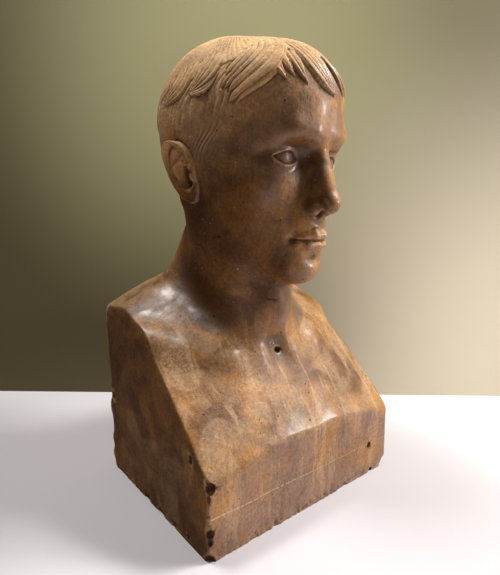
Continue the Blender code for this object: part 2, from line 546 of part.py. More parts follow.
def find_surface(start, way, near, far):
    """Outermost point of the form on each ray, by stepping inwards and then halving."""
    o, w = start.reshape(-1, 3), way.reshape(-1, 3)
    lo, hi = near.reshape(-1).copy(), far.reshape(-1).copy()
    begin, end = lo.copy(), hi.copy()
    waiting = np.arange(len(lo))
    steps = 52
    for k in range(1, steps + 1):
        t = mix(end[waiting], begin[waiting], k / steps)
        q = o[waiting] + w[waiting] * t[:, None]
        hit = casting(q[:, 0], q[:, 1], q[:, 2]) < 0.0
        lo[waiting[hit]] = t[hit]
        hi[waiting[hit]] = mix(end[waiting[hit]], begin[waiting[hit]], (k - 1) / steps)
        waiting = waiting[~hit]
        if len(waiting) == 0:
            break
    for _ in range(14):
        t = (lo + hi) / 2
        q = o + w * t[:, None]
        inside = casting(q[:, 0], q[:, 1], q[:, 2]) < 0.0
        lo, hi = np.where(inside, t, lo), np.where(inside, hi, t)
    return (o + w * ((lo + hi) / 2)[:, None]).reshape(start.shape)


# Wear of the block
def scoop(p, centre, radius, inward):
    """Points inside a ball are pushed inwards onto its far side."""
    inward = np.array(inward) / np.linalg.norm(inward)
    v = p - np.array(centre)
    along = v @ inward
    inside = radius ** 2 - (v * v).sum(-1)
    push = -along + np.sqrt(np.maximum(along ** 2 + inside, 0.0))
    return p + np.where(inside > 0.0, push, 0.0)[..., None] * inward


def chips():
    """Losses along the block's edges: centre, radius and the way in."""
    w, d, h, e = BLOCK_WIDTH / 2, BLOCK_DEPTH / 2, FRONT_HEIGHT, EDGE_CHIP
    return [((-w - 0.25 * e, -d - 0.05 * e, 1.10 * h), 0.95 * e, (1.0, 0.8, 0.1)),
            ((-w + 0.25 * e, -d - 0.35 * e, 0.97 * h), 0.95 * e, (1.0, 1.0, 0.3)),
            ((-w - 0.35 * e, -d - 0.35 * e, 0.84 * h), 0.85 * e, (1.0, 1.0, 0.0)),
            ((-w + 0.05 * e, -d - 0.25 * e, 0.38 * h), 0.80 * e, (1.0, 1.0, 0.0)),
            ((-w - 0.1 * e, -d - 0.3 * e, 0.27 * h), 0.75 * e, (1.0, 1.0, 0.2)),
            ((-w - 0.4 * e, -d - 0.4 * e, 0.0), 1.4 * e, (1.0, 1.0, 0.9)),
            ((-w - 0.2 * e, d + 0.2 * e, 1.24 * h), 1.3 * e, (1.0, -1.0, 0.0)),
            ((-w - 0.5 * e, d + 0.5 * e, 0.72 * h), 1.5 * e, (1.0, -1.0, 0.0)),
            ((-w - 0.7 * e, d + 0.7 * e, 0.0), 2.2 * e, (1.0, -1.0, 0.6)),
            ((w + 0.7 * e, -d - 0.7 * e, -0.04 * h), 2.4 * e, (-1.0, 1.0, 0.8))]


def bust_grid(columns, rows, groove, crop):
    """Points of the whole surface, a row per height and a column per direction."""
    angle = column_angles(*columns)
    start, way, near, far = rays(angle, rows[1:])
    skin = find_surface(start, way, near, far)
    hx, hf, hu = to_head(skin[..., 0], skin[..., 1], skin[..., 2])
    skin = skin + way * (hair_height(hx, hf, hu, groove, crop) + ear_height(hx, hf, hu))[..., None]
    px, py = block_outline(angle)
    s = np.linspace(0.0, 1.0, rows[0] + 1)[:, None]
    wall = np.stack([px + 0.0 * s, py + 0.0 * s, roof(px, py) * s], -1)
    points = np.concatenate([wall, skin])
    for centre, radius, inward in chips():
        points = scoop(points, centre, radius, inward)
    points[0, :, 2] = 0.0
    points[..., 2] = np.maximum(points[..., 2], 0.0)
    return points


# Mesh and object
def close_grid(points):
    """Vertices and faces of the grid with a flat underside and one point at the crown."""
    rows, columns = points.shape[:2]
    verts = points[:-1].reshape(-1, 3)
    verts = np.concatenate([verts, [points[-1].mean(0)], [[0.0, 0.0, 0.0]]])
    crown, foot = len(verts) - 2, len(verts) - 1
    r, c = np.meshgrid(np.arange(rows - 2), np.arange(columns), indexing="ij")
    n = (c + 1) % columns
    faces = np.stack([r * columns + c, r * columns + n, (r + 1) * columns + n, (r + 1) * columns + c], -1)
    faces = faces.reshape(-1, 4).tolist()
    ring = (rows - 2) * columns
    faces += [[ring + k, ring + (k + 1) % columns, crown] for k in range(columns)]
    faces += [[(k + 1) % columns, k, foot] for k in range(columns)]
    return verts.tolist(), faces


def plaster_material():
    """Brown shellacked plaster."""
    material = bpy.data.materials.new("brown_plaster")
    material.use_nodes = True
    shader = material.node_tree.nodes["Principled BSDF"]
    shader.inputs["Base Color"].default_value = (0.26, 0.15, 0.075, 1.0)
    shader.inputs["Roughness"].default_value = 0.42
    return material


def settle(mesh):
    """Brings thinned vertices back onto the flat underside and inside the block's sides."""
    count = len(mesh.vertices)
    co = np.zeros(count * 3)
    mesh.vertices.foreach_get("co", co)
    co = co.reshape(-1, 3)
    co[np.abs(co[:, 2]) < 0.0004, 2] = 0.0
    co[:, 2] = np.clip(co[:, 2], 0.0, BUST_HEIGHT)
    mesh.vertices.foreach_set("co", co.reshape(-1))
    mesh.update()


def build_bust():
    """Object of the casting, thinned to the triangles of the solid."""
    grid = bust_grid((FRONT_COLUMNS, SIDE_COLUMNS, BACK_COLUMNS),
                     (WALL_ROWS, CHEST_ROWS, NECK_ROWS, JAW_ROWS, HEAD_ROWS), 0.0, 0.0)
    grid[..., 2] = np.minimum(grid[..., 2], BUST_HEIGHT)
    verts, faces = close_grid(grid)
    fine = bpy.data.meshes.new("fine_bust")
    fine.from_pydata(verts, [], faces)
    fine.validate()
    carrier = bpy.data.objects.new("fine_bust", fine)
    bpy.context.scene.collection.objects.link(carrier)
    triangles = carrier.modifiers.new("triangles", "TRIANGULATE")
    thin = carrier.modifiers.new("thin", "DECIMATE")
    thin.ratio = SOLID_TRIANGLES / sum(len(f) - 2 for f in faces)
    graph = bpy.context.evaluated_depsgraph_get()
    mesh = bpy.data.meshes.new_from_object(carrier.evaluated_get(graph))
    bpy.data.objects.remove(carrier, do_unlink=True)
    settle(mesh)
    mesh.name = "emperor_bust"
    bust = bpy.data.objects.new("emperor_bust", mesh)
    bpy.context.scene.collection.objects.link(bust)
    mesh.materials.clear()
    mesh.materials.append(plaster_material())
    return bust


for leftover in list(bpy.data.objects):
    bpy.data.objects.remove(leftover, do_unlink=True)

build_bust()
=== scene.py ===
"""Looks of the herm bust: one brown shellacked plaster casting on a pale floor."""

import bpy
import numpy as np
from bpy.props import FloatProperty, FloatVectorProperty, IntProperty, PointerProperty
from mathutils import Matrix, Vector


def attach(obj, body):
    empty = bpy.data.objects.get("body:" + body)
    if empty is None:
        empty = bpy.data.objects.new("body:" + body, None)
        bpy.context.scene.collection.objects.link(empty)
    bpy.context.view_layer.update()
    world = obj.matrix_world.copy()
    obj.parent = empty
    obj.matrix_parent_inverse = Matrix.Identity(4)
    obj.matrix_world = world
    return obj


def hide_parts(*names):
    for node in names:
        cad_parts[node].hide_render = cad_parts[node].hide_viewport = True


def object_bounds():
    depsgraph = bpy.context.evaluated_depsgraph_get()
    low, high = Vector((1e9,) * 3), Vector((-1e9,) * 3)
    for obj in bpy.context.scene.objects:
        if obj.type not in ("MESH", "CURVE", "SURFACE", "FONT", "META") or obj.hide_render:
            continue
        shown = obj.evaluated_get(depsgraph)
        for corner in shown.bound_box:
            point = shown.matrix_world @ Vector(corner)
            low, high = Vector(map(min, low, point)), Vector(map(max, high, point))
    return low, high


bl_info = {
    "name": "Herm bust casting",
    "version": (1, 0, 0),
    "blender": (4, 5, 0),
    "location": "3D Viewport > Sidebar > Bust",
    "description": "Plaster herm bust with its patina, and the plain stage it stands on",
    "category": "Object",
}

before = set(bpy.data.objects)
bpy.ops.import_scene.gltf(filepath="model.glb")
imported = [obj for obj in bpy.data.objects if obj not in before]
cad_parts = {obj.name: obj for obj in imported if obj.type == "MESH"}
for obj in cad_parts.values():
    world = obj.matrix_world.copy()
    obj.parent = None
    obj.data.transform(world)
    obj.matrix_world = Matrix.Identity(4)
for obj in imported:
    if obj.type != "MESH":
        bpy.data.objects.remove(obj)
CAD_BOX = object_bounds()

# Sizes of the casting, in metres, as in the solid
BUST_HEIGHT = 0.570
BLOCK_WIDTH = 0.303
BLOCK_DEPTH = 0.249
FRONT_HEIGHT = 0.0865
SHOULDER_HEIGHT = 0.2365
HEAD_HEIGHT = 0.292
NECK_RADIUS = 0.070
HAIR_RISE = 0.0066
EDGE_CHIP = 0.0085

# Pose of the head, in radians
HEAD_TURN = np.radians(7.0)
HEAD_NOD = np.radians(6.5)

# Place of the head's centre line behind the middle of the block, in metres
HEAD_SET_BACK = 0.002

# Tilt of the hair's crown behind the top of the head, in radians
CROWN_TILT = np.radians(24.0)

# Columns on each front, side and back face, and rows on walls, chest, neck, under the jaw and head
COLUMNS = (330, 170, 110)
ROWS = (84, 110, 56, 44, 400)

# Each coarse ray stands for this many fine ones while the surface is being found
COARSE = 4

# Rounding of the block's arrises: spread in rows, spread in half turns, and how often it is repeated
EDGE_SPREAD = 4.5
CORNER_SPREAD = 0.008
SOFTENING_ROUNDS = 22

# Width of the soft edge round a chip or hole, in metres
LOSS_EDGE = 0.0008

# Furrows between strands on the flat cap, and on the low locks next to the raised ones
CAP_FURROW = 0.45
LOW_LOCK_FURROW = 0.5

# Pale patch on the bust's right breast, and the scratched line along the front face, in metres
PATCH_CENTRE = (-0.128, -0.036, 0.183)
PATCH_RADIUS = 0.021
PATCH_SQUASH = (1.0, 0.65, 0.65)
SCRATCH_HEIGHT = 0.0465
SCRATCH_FALL = -0.021

# Grain that breaks the edge of dirt and of rubbed places, in metres of relief
DIRT_GRAIN = 0.00008
RUB_GRAIN = 0.00016

# Camera at the photograph's viewing angle, and what the lamps are turned to
CAMERA_PLACE = (-0.3766, -0.4679, 0.3604)
CAMERA_YAW = np.radians(39.06)
CAMERA_DIP = np.radians(9.835)
SENSOR_WIDTH = 36.0
LAMP_AIM = (0.0, 0.0, 0.3)

# Foot of the wall: one point on its line with the floor, and the way the line runs
WALL_FOOT = np.array([-0.2246, 0.5171, 0.0])
WALL_WAY = np.array([0.7605, -0.6493, 0.0])

# Seed of the unevenness
SEED = 11


# Small helpers
def ease(t):
    """Smooth step from 0 to 1."""
    t = np.clip(t, 0.0, 1.0)
    return t * t * (3.0 - 2.0 * t)


def mix(a, b, t):
    """Straight blend from a to b."""
    return a + (b - a) * t


def join(a, b, k):
    """Smooth union of two distances with a fillet of size k."""
    h = np.maximum(k - np.abs(a - b), 0.0) / k
    return np.minimum(a, b) - h * h * k * 0.25


def carve(a, b, k):
    """Distance a with the shape of distance b carved out, with a fillet of size k."""
    return -join(-a, b, k)


def ball(p, c, r):
    """Distance to a ball."""
    return np.sqrt((p[0] - c[0]) ** 2 + (p[1] - c[1]) ** 2 + (p[2] - c[2]) ** 2) - r


def egg(p, c, r):
    """Distance to an upright ellipsoid, close to true near its surface."""
    x, y, z = (p[0] - c[0]) / r[0], (p[1] - c[1]) / r[1], (p[2] - c[2]) / r[2]
    k0 = np.sqrt(x * x + y * y + z * z) + 1e-9
    k1 = np.sqrt((x / r[0]) ** 2 + (y / r[1]) ** 2 + (z / r[2]) ** 2) + 1e-9
    return k0 * (k0 - 1.0) / k1


def tilted_egg(p, c, r, yaw=0.0, pitch=0.0):
    """Distance to an ellipsoid turned about the upright axis, then about the cross axis."""
    x, f, u = p[0] - c[0], p[1] - c[1], p[2] - c[2]
    x, f = np.cos(yaw) * x + np.sin(yaw) * f, np.cos(yaw) * f - np.sin(yaw) * x
    f, u = np.cos(pitch) * f + np.sin(pitch) * u, np.cos(pitch) * u - np.sin(pitch) * f
    return egg((x, f, u), (0.0, 0.0, 0.0), r)


def rod(p, a, b, ra, rb):
    """Distance to a round rod from a to b whose radius runs from ra to rb."""
    d = [b[i] - a[i] for i in range(3)]
    along = (p[0] - a[0]) * d[0] + (p[1] - a[1]) * d[1] + (p[2] - a[2]) * d[2]
    t = np.clip(along / (d[0] ** 2 + d[1] ** 2 + d[2] ** 2), 0.0, 1.0)
    x, y, z = p[0] - a[0] - t * d[0], p[1] - a[1] - t * d[1], p[2] - a[2] - t * d[2]
    return np.sqrt(x * x + y * y + z * z) - mix(ra, rb, t)


def chain(p, knots, radii, k):
    """Distance to rods joined end to end through the knots."""
    d = rod(p, knots[0], knots[1], radii[0], radii[1])
    for i in range(1, len(knots) - 1):
        d = join(d, rod(p, knots[i], knots[i + 1], radii[i], radii[i + 1]), k)
    return d


# Head, in head heights: x out to the side, f forward from the ear line, u up from the chin
def skull(p):
    """Rounded cranium: a broad back, a narrower forehead and the base over the nape."""
    d = egg(p, (0.0, -0.094, 0.630), (0.333, 0.339, 0.342))
    d = join(d, egg(p, (0.0, 0.132, 0.687), (0.284, 0.278, 0.252)), 0.08)
    return join(d, egg(p, (0.0, -0.170, 0.460), (0.230, 0.215, 0.200)), 0.10)


def face_mass(p):
    """Face from cheek to chin: mask, cheeks, jaw, chin, cheekbones and the mound of the teeth."""
    d = egg(p, (0.0, 0.125, 0.420), (0.230, 0.250, 0.330))
    d = join(d, egg(p, (0.0, 0.200, 0.250), (0.165, 0.190, 0.200)), 0.08)
    d = join(d, egg(p, (0.105, 0.150, 0.300), (0.118, 0.165, 0.190)), 0.08)
    d = join(d, egg(p, (0.150, 0.110, 0.340), (0.086, 0.150, 0.130)), 0.08)
    d = join(d, rod(p, (0.172, 0.030, 0.205), (0.060, 0.315, 0.085), 0.058, 0.064), 0.09)
    d = join(d, rod(p, (0.178, 0.000, 0.400), (0.172, 0.030, 0.205), 0.054, 0.048), 0.11)
    d = join(d, egg(p, (0.0, 0.338, 0.080), (0.085, 0.078, 0.076)), 0.05)
    d = join(d, tilted_egg(p, (0.165, 0.245, 0.415), (0.072, 0.068, 0.062), yaw=-0.5), 0.10)
    d = join(d, rod(p, (0.200, 0.190, 0.435), (0.232, 0.020, 0.450), 0.030, 0.030), 0.09)
    return join(d, egg(p, (0.0, 0.275, 0.215), (0.120, 0.140, 0.105)), 0.07)


def brow(p):
    """Ridge over the eyes, easing away towards the temple."""
    knots = [(0.0, 0.360, 0.588), (0.060, 0.364, 0.590), (0.125, 0.344, 0.592),
             (0.185, 0.290, 0.575), (0.215, 0.240, 0.548)]
    return chain(p, knots, [0.034, 0.034, 0.032, 0.026, 0.020], 0.04)


def eye(p, d):
    """Socket, then two lids over a plain ball with an almond gap between them."""
    x, u = p[0], p[2]
    d = carve(d, tilted_egg(p, (0.128, 0.404, 0.508), (0.088, 0.070, 0.050), yaw=-0.25), 0.050)
    centre = (0.135, 0.277, 0.494)
    s = (x - 0.0715) / 0.1310
    sc = np.clip(s, 0.0, 1.0)
    upper = 0.489 + 0.010 * sc + 0.0300 * np.sin(np.pi * sc ** 0.80) ** 0.9
    lower = 0.489 + 0.010 * sc - 0.0215 * np.sin(np.pi * sc ** 1.25) ** 0.9
    gap = np.maximum(u - upper, lower - u)
    gap = np.maximum(gap, np.maximum(-s, s - 1.0) * 0.12)
    lids = carve(ball(p, centre, 0.0735), gap, 0.006)
    d = join(d, lids, 0.018)
    return join(d, ball(p, centre, 0.0645), 0.004)


def nose(p):
    """Bridge, flanks, tip, the strut between the nostrils and the wings."""
    d = rod(p, (0.0, 0.372, 0.560), (0.0, 0.392, 0.500), 0.031, 0.026)
    d = join(d, rod(p, (0.0, 0.392, 0.500), (0.0, 0.452, 0.360), 0.0265, 0.030), 0.02)
    d = join(d, tilted_egg(p, (0.0, 0.372, 0.395), (0.060, 0.085, 0.125), pitch=0.33), 0.025)
    d = join(d, ball(p, (0.0, 0.460, 0.345), 0.0375), 0.02)
    d = join(d, rod(p, (0.0, 0.475, 0.322), (0.0, 0.425, 0.298), 0.0145, 0.0135), 0.012)
    return join(d, rod(p, (0.0385, 0.416, 0.323), (0.048, 0.345, 0.335), 0.0300, 0.0300), 0.016)


def nostril(p, d):
    """Opening under each wing."""
    return carve(d, tilted_egg(p, (0.0265, 0.440, 0.296), (0.0135, 0.028, 0.020), yaw=-0.28), 0.010)


def lips(p, d):
    """Groove under the nose, both lips, the line between them and the hollow over the chin."""
    top = [(0.0, 0.4165, 0.2130), (0.022, 0.4185, 0.2160), (0.060, 0.3950, 0.2075), (0.104, 0.3520, 0.1950)]
    low = [(0.0, 0.4110, 0.1770), (0.040, 0.4010, 0.1780), (0.075, 0.3770, 0.1835), (0.101, 0.3500, 0.1930)]
    cut = [(0.0, 0.4400, 0.1975), (0.050, 0.4230, 0.1975), (0.104, 0.3700, 0.1945)]
    both = join(chain(p, top, [0.0170, 0.0180, 0.0145, 0.0060], 0.012),
                chain(p, low, [0.0240, 0.0215, 0.0140, 0.0060], 0.012), 0.006)
    d = carve(d, rod(p, (0.0, 0.452, 0.285), (0.0, 0.452, 0.238), 0.011, 0.013), 0.022)
    d = join(d, both, 0.018)
    d = carve(d, chain(p, cut, [0.0055, 0.0055, 0.0040], 0.004), 0.012)
    d = carve(d, egg(p, (0.0, 0.449, 0.130), (0.075, 0.044, 0.022)), 0.035)
    return carve(d, ball(p, (0.112, 0.372, 0.1940), 0.006), 0.030)


EAR_PLACE = (-0.058, 0.408)
EAR_LENGTH = 0.245
EAR_LEAN = 0.20
EAR_STAND = 0.15


def flat_egg(a, b, c, r):
    """Distance in the ear's plane to an ellipse, close to true near its line."""
    x, y = (a - c[0]) / r[0], (b - c[1]) / r[1]
    k0 = np.sqrt(x * x + y * y) + 1e-9
    return k0 * (k0 - 1.0) / (np.sqrt((x / r[0]) ** 2 + (y / r[1]) ** 2) + 1e-9)


def path_distance(a, b, knots):
    """Distance in the ear's plane to a bent line."""
    best = np.full(np.shape(a), 9.0)
    for p, q in zip(knots[:-1], knots[1:]):
        d = (q[0] - p[0], q[1] - p[1])
        t = np.clip(((a - p[0]) * d[0] + (b - p[1]) * d[1]) / (d[0] ** 2 + d[1] ** 2), 0.0, 1.0)
        best = np.minimum(best, np.hypot(a - p[0] - t * d[0], b - p[1] - t * d[1]))
    return best


def ear_height(x, f, u):
    """Relief of the ear over the side of the head, in metres: a up the ear, b towards its back edge."""
    f, u = f - EAR_PLACE[0], u - EAR_PLACE[1]
    a = (np.cos(EAR_LEAN) * u - np.sin(EAR_LEAN) * f) / EAR_LENGTH
    b = (-np.sin(EAR_LEAN) * u - np.cos(EAR_LEAN) * f) / EAR_LENGTH
    near = (np.abs(x) > 0.15) & (np.abs(a) < 0.65) & (np.abs(b) < 0.5)
    out = np.zeros(np.shape(a))
    if not near.any():
        return out
    a, b = a[near], b[near]
    upper = flat_egg(a, b, (0.11, 0.025), (0.385, 0.275))
    lower = flat_egg(a, b, (-0.20, 0.0), (0.245, 0.205))
    shape = join(upper, lower, 0.10)
    shape = join(shape, flat_egg(a, b, (-0.37, -0.045), (0.125, 0.115)), 0.06)
    plane = 0.045 + EAR_STAND * ease((b + 0.26) / 0.50) * (0.62 + 0.38 * ease((a + 0.42) / 0.40))
    rim = np.exp(-((shape + 0.050) / 0.036) ** 2) * ease((a + 0.42) / 0.25)
    rim = rim * ease((b + 0.16 + 0.5 * np.clip(a, 0.0, 1.0)) / 0.10)
    trough = np.exp(-((shape + 0.115) / 0.032) ** 2) * ease((a + 0.25) / 0.2) * ease((b + 0.02) / 0.10)
    fold = path_distance(a, b, [(0.33, 0.02), (0.20, 0.105), (0.05, 0.140),
                                (-0.10, 0.115), (-0.20, 0.045), (-0.235, -0.045)])
    fold = np.exp(-(fold / 0.042) ** 2)
    branch = np.exp(-(path_distance(a, b, [(0.24, -0.08), (0.15, 0.02), (0.08, 0.12)]) / 0.034) ** 2)
    bowl = ease(0.5 - flat_egg(a, b, (-0.055, -0.015), (0.165, 0.115)) / 0.09)
    root = np.exp(-(path_distance(a, b, [(0.02, -0.02), (0.035, -0.12), (0.12, -0.20)]) / 0.026) ** 2)
    knob = np.exp(-(flat_egg(a, b, (-0.075, -0.165), (0.050, 0.020)) + 0.02) ** 2 / 0.032 ** 2)
    bump = np.exp(-((a + 0.205) ** 2 + (b + 0.02) ** 2) / 0.045 ** 2)
    height = plane + 0.060 * rim - 0.045 * trough + 0.040 * fold + 0.020 * branch
    height = height - 0.200 * bowl + 0.030 * root + 0.060 * knob + 0.025 * bump
    height = np.maximum(height, 0.004) * ease(0.5 - (shape + 0.004) / 0.050)
    out[near] = height * EAR_LENGTH * HEAD_HEIGHT
    return out


def bare_head(p):
    """Head without ears or hair."""
    d = join(skull(p), face_mass(p), 0.09)
    d = join(d, brow(p), 0.075)
    d = eye(p, d)
    d = join(d, nose(p), 0.026)
    return lips(p, nostril(p, d))


HEAD_PIVOT = 0.43 * HEAD_HEIGHT
CHIN_LEVEL = BUST_HEIGHT - HAIR_RISE - 0.9675 * HEAD_HEIGHT


def to_head(x, y, z):
    """Casting frame to head heights: x to the bust's left, f forward, u up from the chin."""
    y, z = y - HEAD_SET_BACK, z - CHIN_LEVEL - HEAD_PIVOT
    side = np.cos(HEAD_TURN) * x + np.sin(HEAD_TURN) * y
    ahead = np.sin(HEAD_TURN) * x - np.cos(HEAD_TURN) * y
    f = np.cos(HEAD_NOD) * ahead - np.sin(HEAD_NOD) * z
    u = np.sin(HEAD_NOD) * ahead + np.cos(HEAD_NOD) * z + HEAD_PIVOT
    return side / HEAD_HEIGHT, f / HEAD_HEIGHT, u / HEAD_HEIGHT


def from_head(x, f, u):
    """Head heights to the casting frame."""
    x, f, u = x * HEAD_HEIGHT, f * HEAD_HEIGHT, u * HEAD_HEIGHT - HEAD_PIVOT
    ahead = np.cos(HEAD_NOD) * f + np.sin(HEAD_NOD) * u
    z = np.cos(HEAD_NOD) * u - np.sin(HEAD_NOD) * f
    px = np.cos(HEAD_TURN) * x + np.sin(HEAD_TURN) * ahead
    py = np.sin(HEAD_TURN) * x - np.cos(HEAD_TURN) * ahead
    return px, py + HEAD_SET_BACK, z + CHIN_LEVEL + HEAD_PIVOT


# Chest, shoulders and neck, in metres
CLIMB = SHOULDER_HEIGHT - FRONT_HEIGHT


def roof(x, y):
    """Height of chest, shoulders and upper back over the block's plan."""
    back = y / BLOCK_DEPTH + 0.5
    arch = 0.054 * np.sin(np.pi * np.clip(back / 0.62, 0.0, 1.0))
    ramp = FRONT_HEIGHT + CLIMB * (back / 0.70 + arch)
    slope = join(ramp, SHOULDER_HEIGHT - 0.04 * CLIMB * ease((back - 0.75) / 0.25), 0.15 * CLIMB)
    across = 2.0 * np.abs(x) / BLOCK_WIDTH
    lift = (0.097 + 0.225 * np.clip(back / 0.36, 0.0, 1.0)) * (1.0 - np.clip(across, 0.0, 1.0) ** 1.7)
    swell = 0.024 * np.exp(-((across - 0.41) / 0.30) ** 2 - ((back - 0.12) / 0.20) ** 2)
    furrow = 0.011 * np.exp(-(across / 0.086) ** 2) * np.clip((0.32 - back) / 0.12, 0.0, 1.0)
    return slope + CLIMB * (lift + swell - furrow)


def over_plan(across, back, drop):
    """Point over the plan: shares of half the width and of the depth, and a drop below the roof in climbs."""
    x, y = across * BLOCK_WIDTH / 2, (back - 0.5) * BLOCK_DEPTH
    return (x, y, float(roof(np.array(x), np.array(y))) - drop * CLIMB)


NOTCH = over_plan(-0.05, 0.27, 0.070)
NECK_FOOT = (0.0, 0.13 * BLOCK_DEPTH, SHOULDER_HEIGHT - 0.30 * CLIMB)
NECK_TOP = from_head(0.0, -0.055, 0.40)
NECK_SQUEEZE = 0.94


def shoulders(x, y, z):
    """Body under the roof, with the collarbones laid over it."""
    bones = [over_plan(0.22, 0.300, 0.190), over_plan(0.45, 0.315, 0.092),
             over_plan(0.72, 0.430, 0.080), over_plan(0.99, 0.60, 0.070)]
    thick = 0.058 * CLIMB
    widths = [0.8 * thick, 0.92 * thick, 0.92 * thick, 0.9 * thick]
    d = (z - roof(x, y)) * 0.72
    return join(d, chain((np.abs(x), y, z), bones, widths, 0.01), 0.030)


def neck(x, y, z):
    """Column, the two cords from ear to notch, the back muscles and the throat."""
    p = (x, y, z)
    slim = (x / NECK_SQUEEZE, y, z)
    r = NECK_RADIUS
    waist = [mix(NECK_FOOT[i], NECK_TOP[i], 0.52) for i in range(3)]
    waist[1] -= 0.14 * r
    d = rod(slim, NECK_FOOT, waist, 1.08 * r, 1.00 * r)
    d = join(d, rod(slim, waist, NECK_TOP, 1.00 * r, 0.96 * r), 0.3 * r)
    for side in (-1.0, 1.0):
        low = (NOTCH[0] + 0.38 * r * side, NOTCH[1] + 0.18 * r, NOTCH[2] + 0.04 * r)
        middle = [mix(low[i], from_head(0.175 * side, -0.060, 0.27)[i], 0.45) for i in range(3)]
        ear = from_head(0.190 * side, -0.105, 0.30)
        cord = chain(p, [ear, middle, low], [0.16 * r, 0.11 * r, 0.10 * r], 0.1 * r)
        d = join(d, cord, 0.60 * r)
    high = (0.40 * r, 0.26 * BLOCK_DEPTH, SHOULDER_HEIGHT + 0.50 * CLIMB)
    out = (0.264 * BLOCK_WIDTH, 0.29 * BLOCK_DEPTH, SHOULDER_HEIGHT + 0.03 * CLIMB)
    d = join(d, rod((np.abs(x), y, z), high, out, 0.40 * r, 0.225 * r), 0.42 * r)
    throat = (0.5 * NOTCH[0], NECK_FOOT[1] - 1.20 * r, mix(NOTCH[2], CHIN_LEVEL, 0.60))
    return join(d, egg(p, throat, (0.24 * r, 0.22 * r, 0.46 * r)), 0.5 * r)


def casting(x, y, z):
    """Whole form above the block, without ears or hair."""
    hx, hf, hu = to_head(x, y, z)
    p = (np.abs(hx), hf, hu)
    d = join(bare_head(p) * HEAD_HEIGHT, neck(x, y, z), 0.26 * NECK_RADIUS)
    d = join(d, shoulders(x, y, z), 0.34 * NECK_RADIUS)
    hollow = (NOTCH[0], NOTCH[1] - 0.26 * NECK_RADIUS, NOTCH[2] + 0.17 * NECK_RADIUS)
    return carve(d, ball((x, y, z), hollow, 0.10 * NECK_RADIUS), 0.34 * NECK_RADIUS)


# Hair, as a height over the scalp in a flat chart round the crown
HAIR_CENTRE = (0.0, -0.02, 0.60)


def hair_chart(x, f, u):
    """Angles from the crown, laid out flat: forward and to the left."""
    x, f, u = x - HAIR_CENTRE[0], f - HAIR_CENTRE[1], u - HAIR_CENTRE[2]
    size = np.sqrt(x * x + f * f + u * u) + 1e-9
    up = (np.cos(CROWN_TILT) * u - np.sin(CROWN_TILT) * f) / size
    ahead = np.cos(CROWN_TILT) * f + np.sin(CROWN_TILT) * u
    far = np.arccos(np.clip(up, -1.0, 1.0))
    turn = np.arctan2(x, ahead)
    return far * np.cos(turn), far * np.sin(turn)


def chart_point(far, degrees):
    """Chart point a given angle from the crown, in a given direction."""
    return np.array([far * np.cos(np.radians(degrees)), far * np.sin(np.radians(degrees))])


def lock_height(a, b, lock, phase, teeth):
    """Height of one bent tongue of hair, raised on its outer side, and the furrows between its strands."""
    p0, p1, p2, wide, blunt, strands, top = lock
    bits = 25
    t = np.linspace(0.0, 1.0, bits + 1)[:, None]
    line = (1.0 - t) ** 2 * p0 + 2.0 * t * (1.0 - t) * p1 + t ** 2 * p2
    reach = max(wide) + 0.03
    body, furrow = np.zeros(a.shape), np.zeros(a.shape)
    near = (a > line[:, 0].min() - reach) & (a < line[:, 0].max() + reach)
    near &= (b > line[:, 1].min() - reach) & (b < line[:, 1].max() + reach)
    if not near.any():
        return body, furrow
    a, b = a[near], b[near]
    best, s, q = np.full(a.shape, 9.0), np.zeros(a.shape), np.zeros(a.shape)
    for k in range(bits):
        d = line[k + 1] - line[k]
        size = float(d @ d)
        da, db = a - line[k][0], b - line[k][1]
        m = np.clip((da * d[0] + db * d[1]) / size, -0.6 if k == 0 else 0.0, 4.0 if k == bits - 1 else 1.0)
        gap = (da - m * d[0]) ** 2 + (db - m * d[1]) ** 2
        better = gap < best
        best = np.where(better, gap, best)
        s = np.where(better, (k + m) / bits, s)
        q = np.where(better, (d[0] * db - d[1] * da) / np.sqrt(size), q)
    w = np.where(s < 0.6, mix(wide[0], wide[1], ease(s / 0.6)), mix(wide[1], wide[2], ease((s - 0.6) / 0.4)))
    bend = p1 - p0
    outer = -np.sign(bend[0] * (p2 - p1)[1] - bend[1] * (p2 - p1)[0])
    q = outer * q / w
    rise = 0.58 + 0.28 * ease(0.5 * q + 0.6) + 0.20 * np.exp(-((q - 0.84) / 0.13) ** 2)
    edge = np.sqrt(np.clip(1.0 - q ** 6, 0.0, 1.0)) * rise
    across = strands * (0.5 * (q + 1.0) + 0.035 * np.sin(5.0 * q + 2.0 * phase)) + phase
    ridge = np.abs(np.sin(np.pi * across))
    hairs = np.abs(np.sin(np.pi * (3.0 * across + 0.15 * np.sin(9.0 * s + 2.0 * phase))))
    stagger = 0.030 * np.sin(4.1 * np.floor(across) + phase)
    tip = 1.0 - (1.0 - blunt) * 0.30 * ease((s - 0.75) / 0.25)
    end = ease((1.03 - s - teeth * (blunt * (1.0 - ridge) * 0.05 + stagger) - 0.05 * q ** 2) / 0.05)
    height = top * HAIR_RISE * (0.30 + 0.70 * ease(s / 0.8)) * edge * end * tip
    inside = (np.abs(q) < 1.0) & (s > -0.02)
    lines = (1.0 - ridge) ** 1.4 * (0.45 + 0.55 * ease(s)) + 0.30 * (1.0 - hairs)
    body[near] = np.where(inside, height, 0.0)
    furrow[near] = np.where(inside, lines * ease((s + 0.15) / 0.3), 0.0)
    return body, furrow


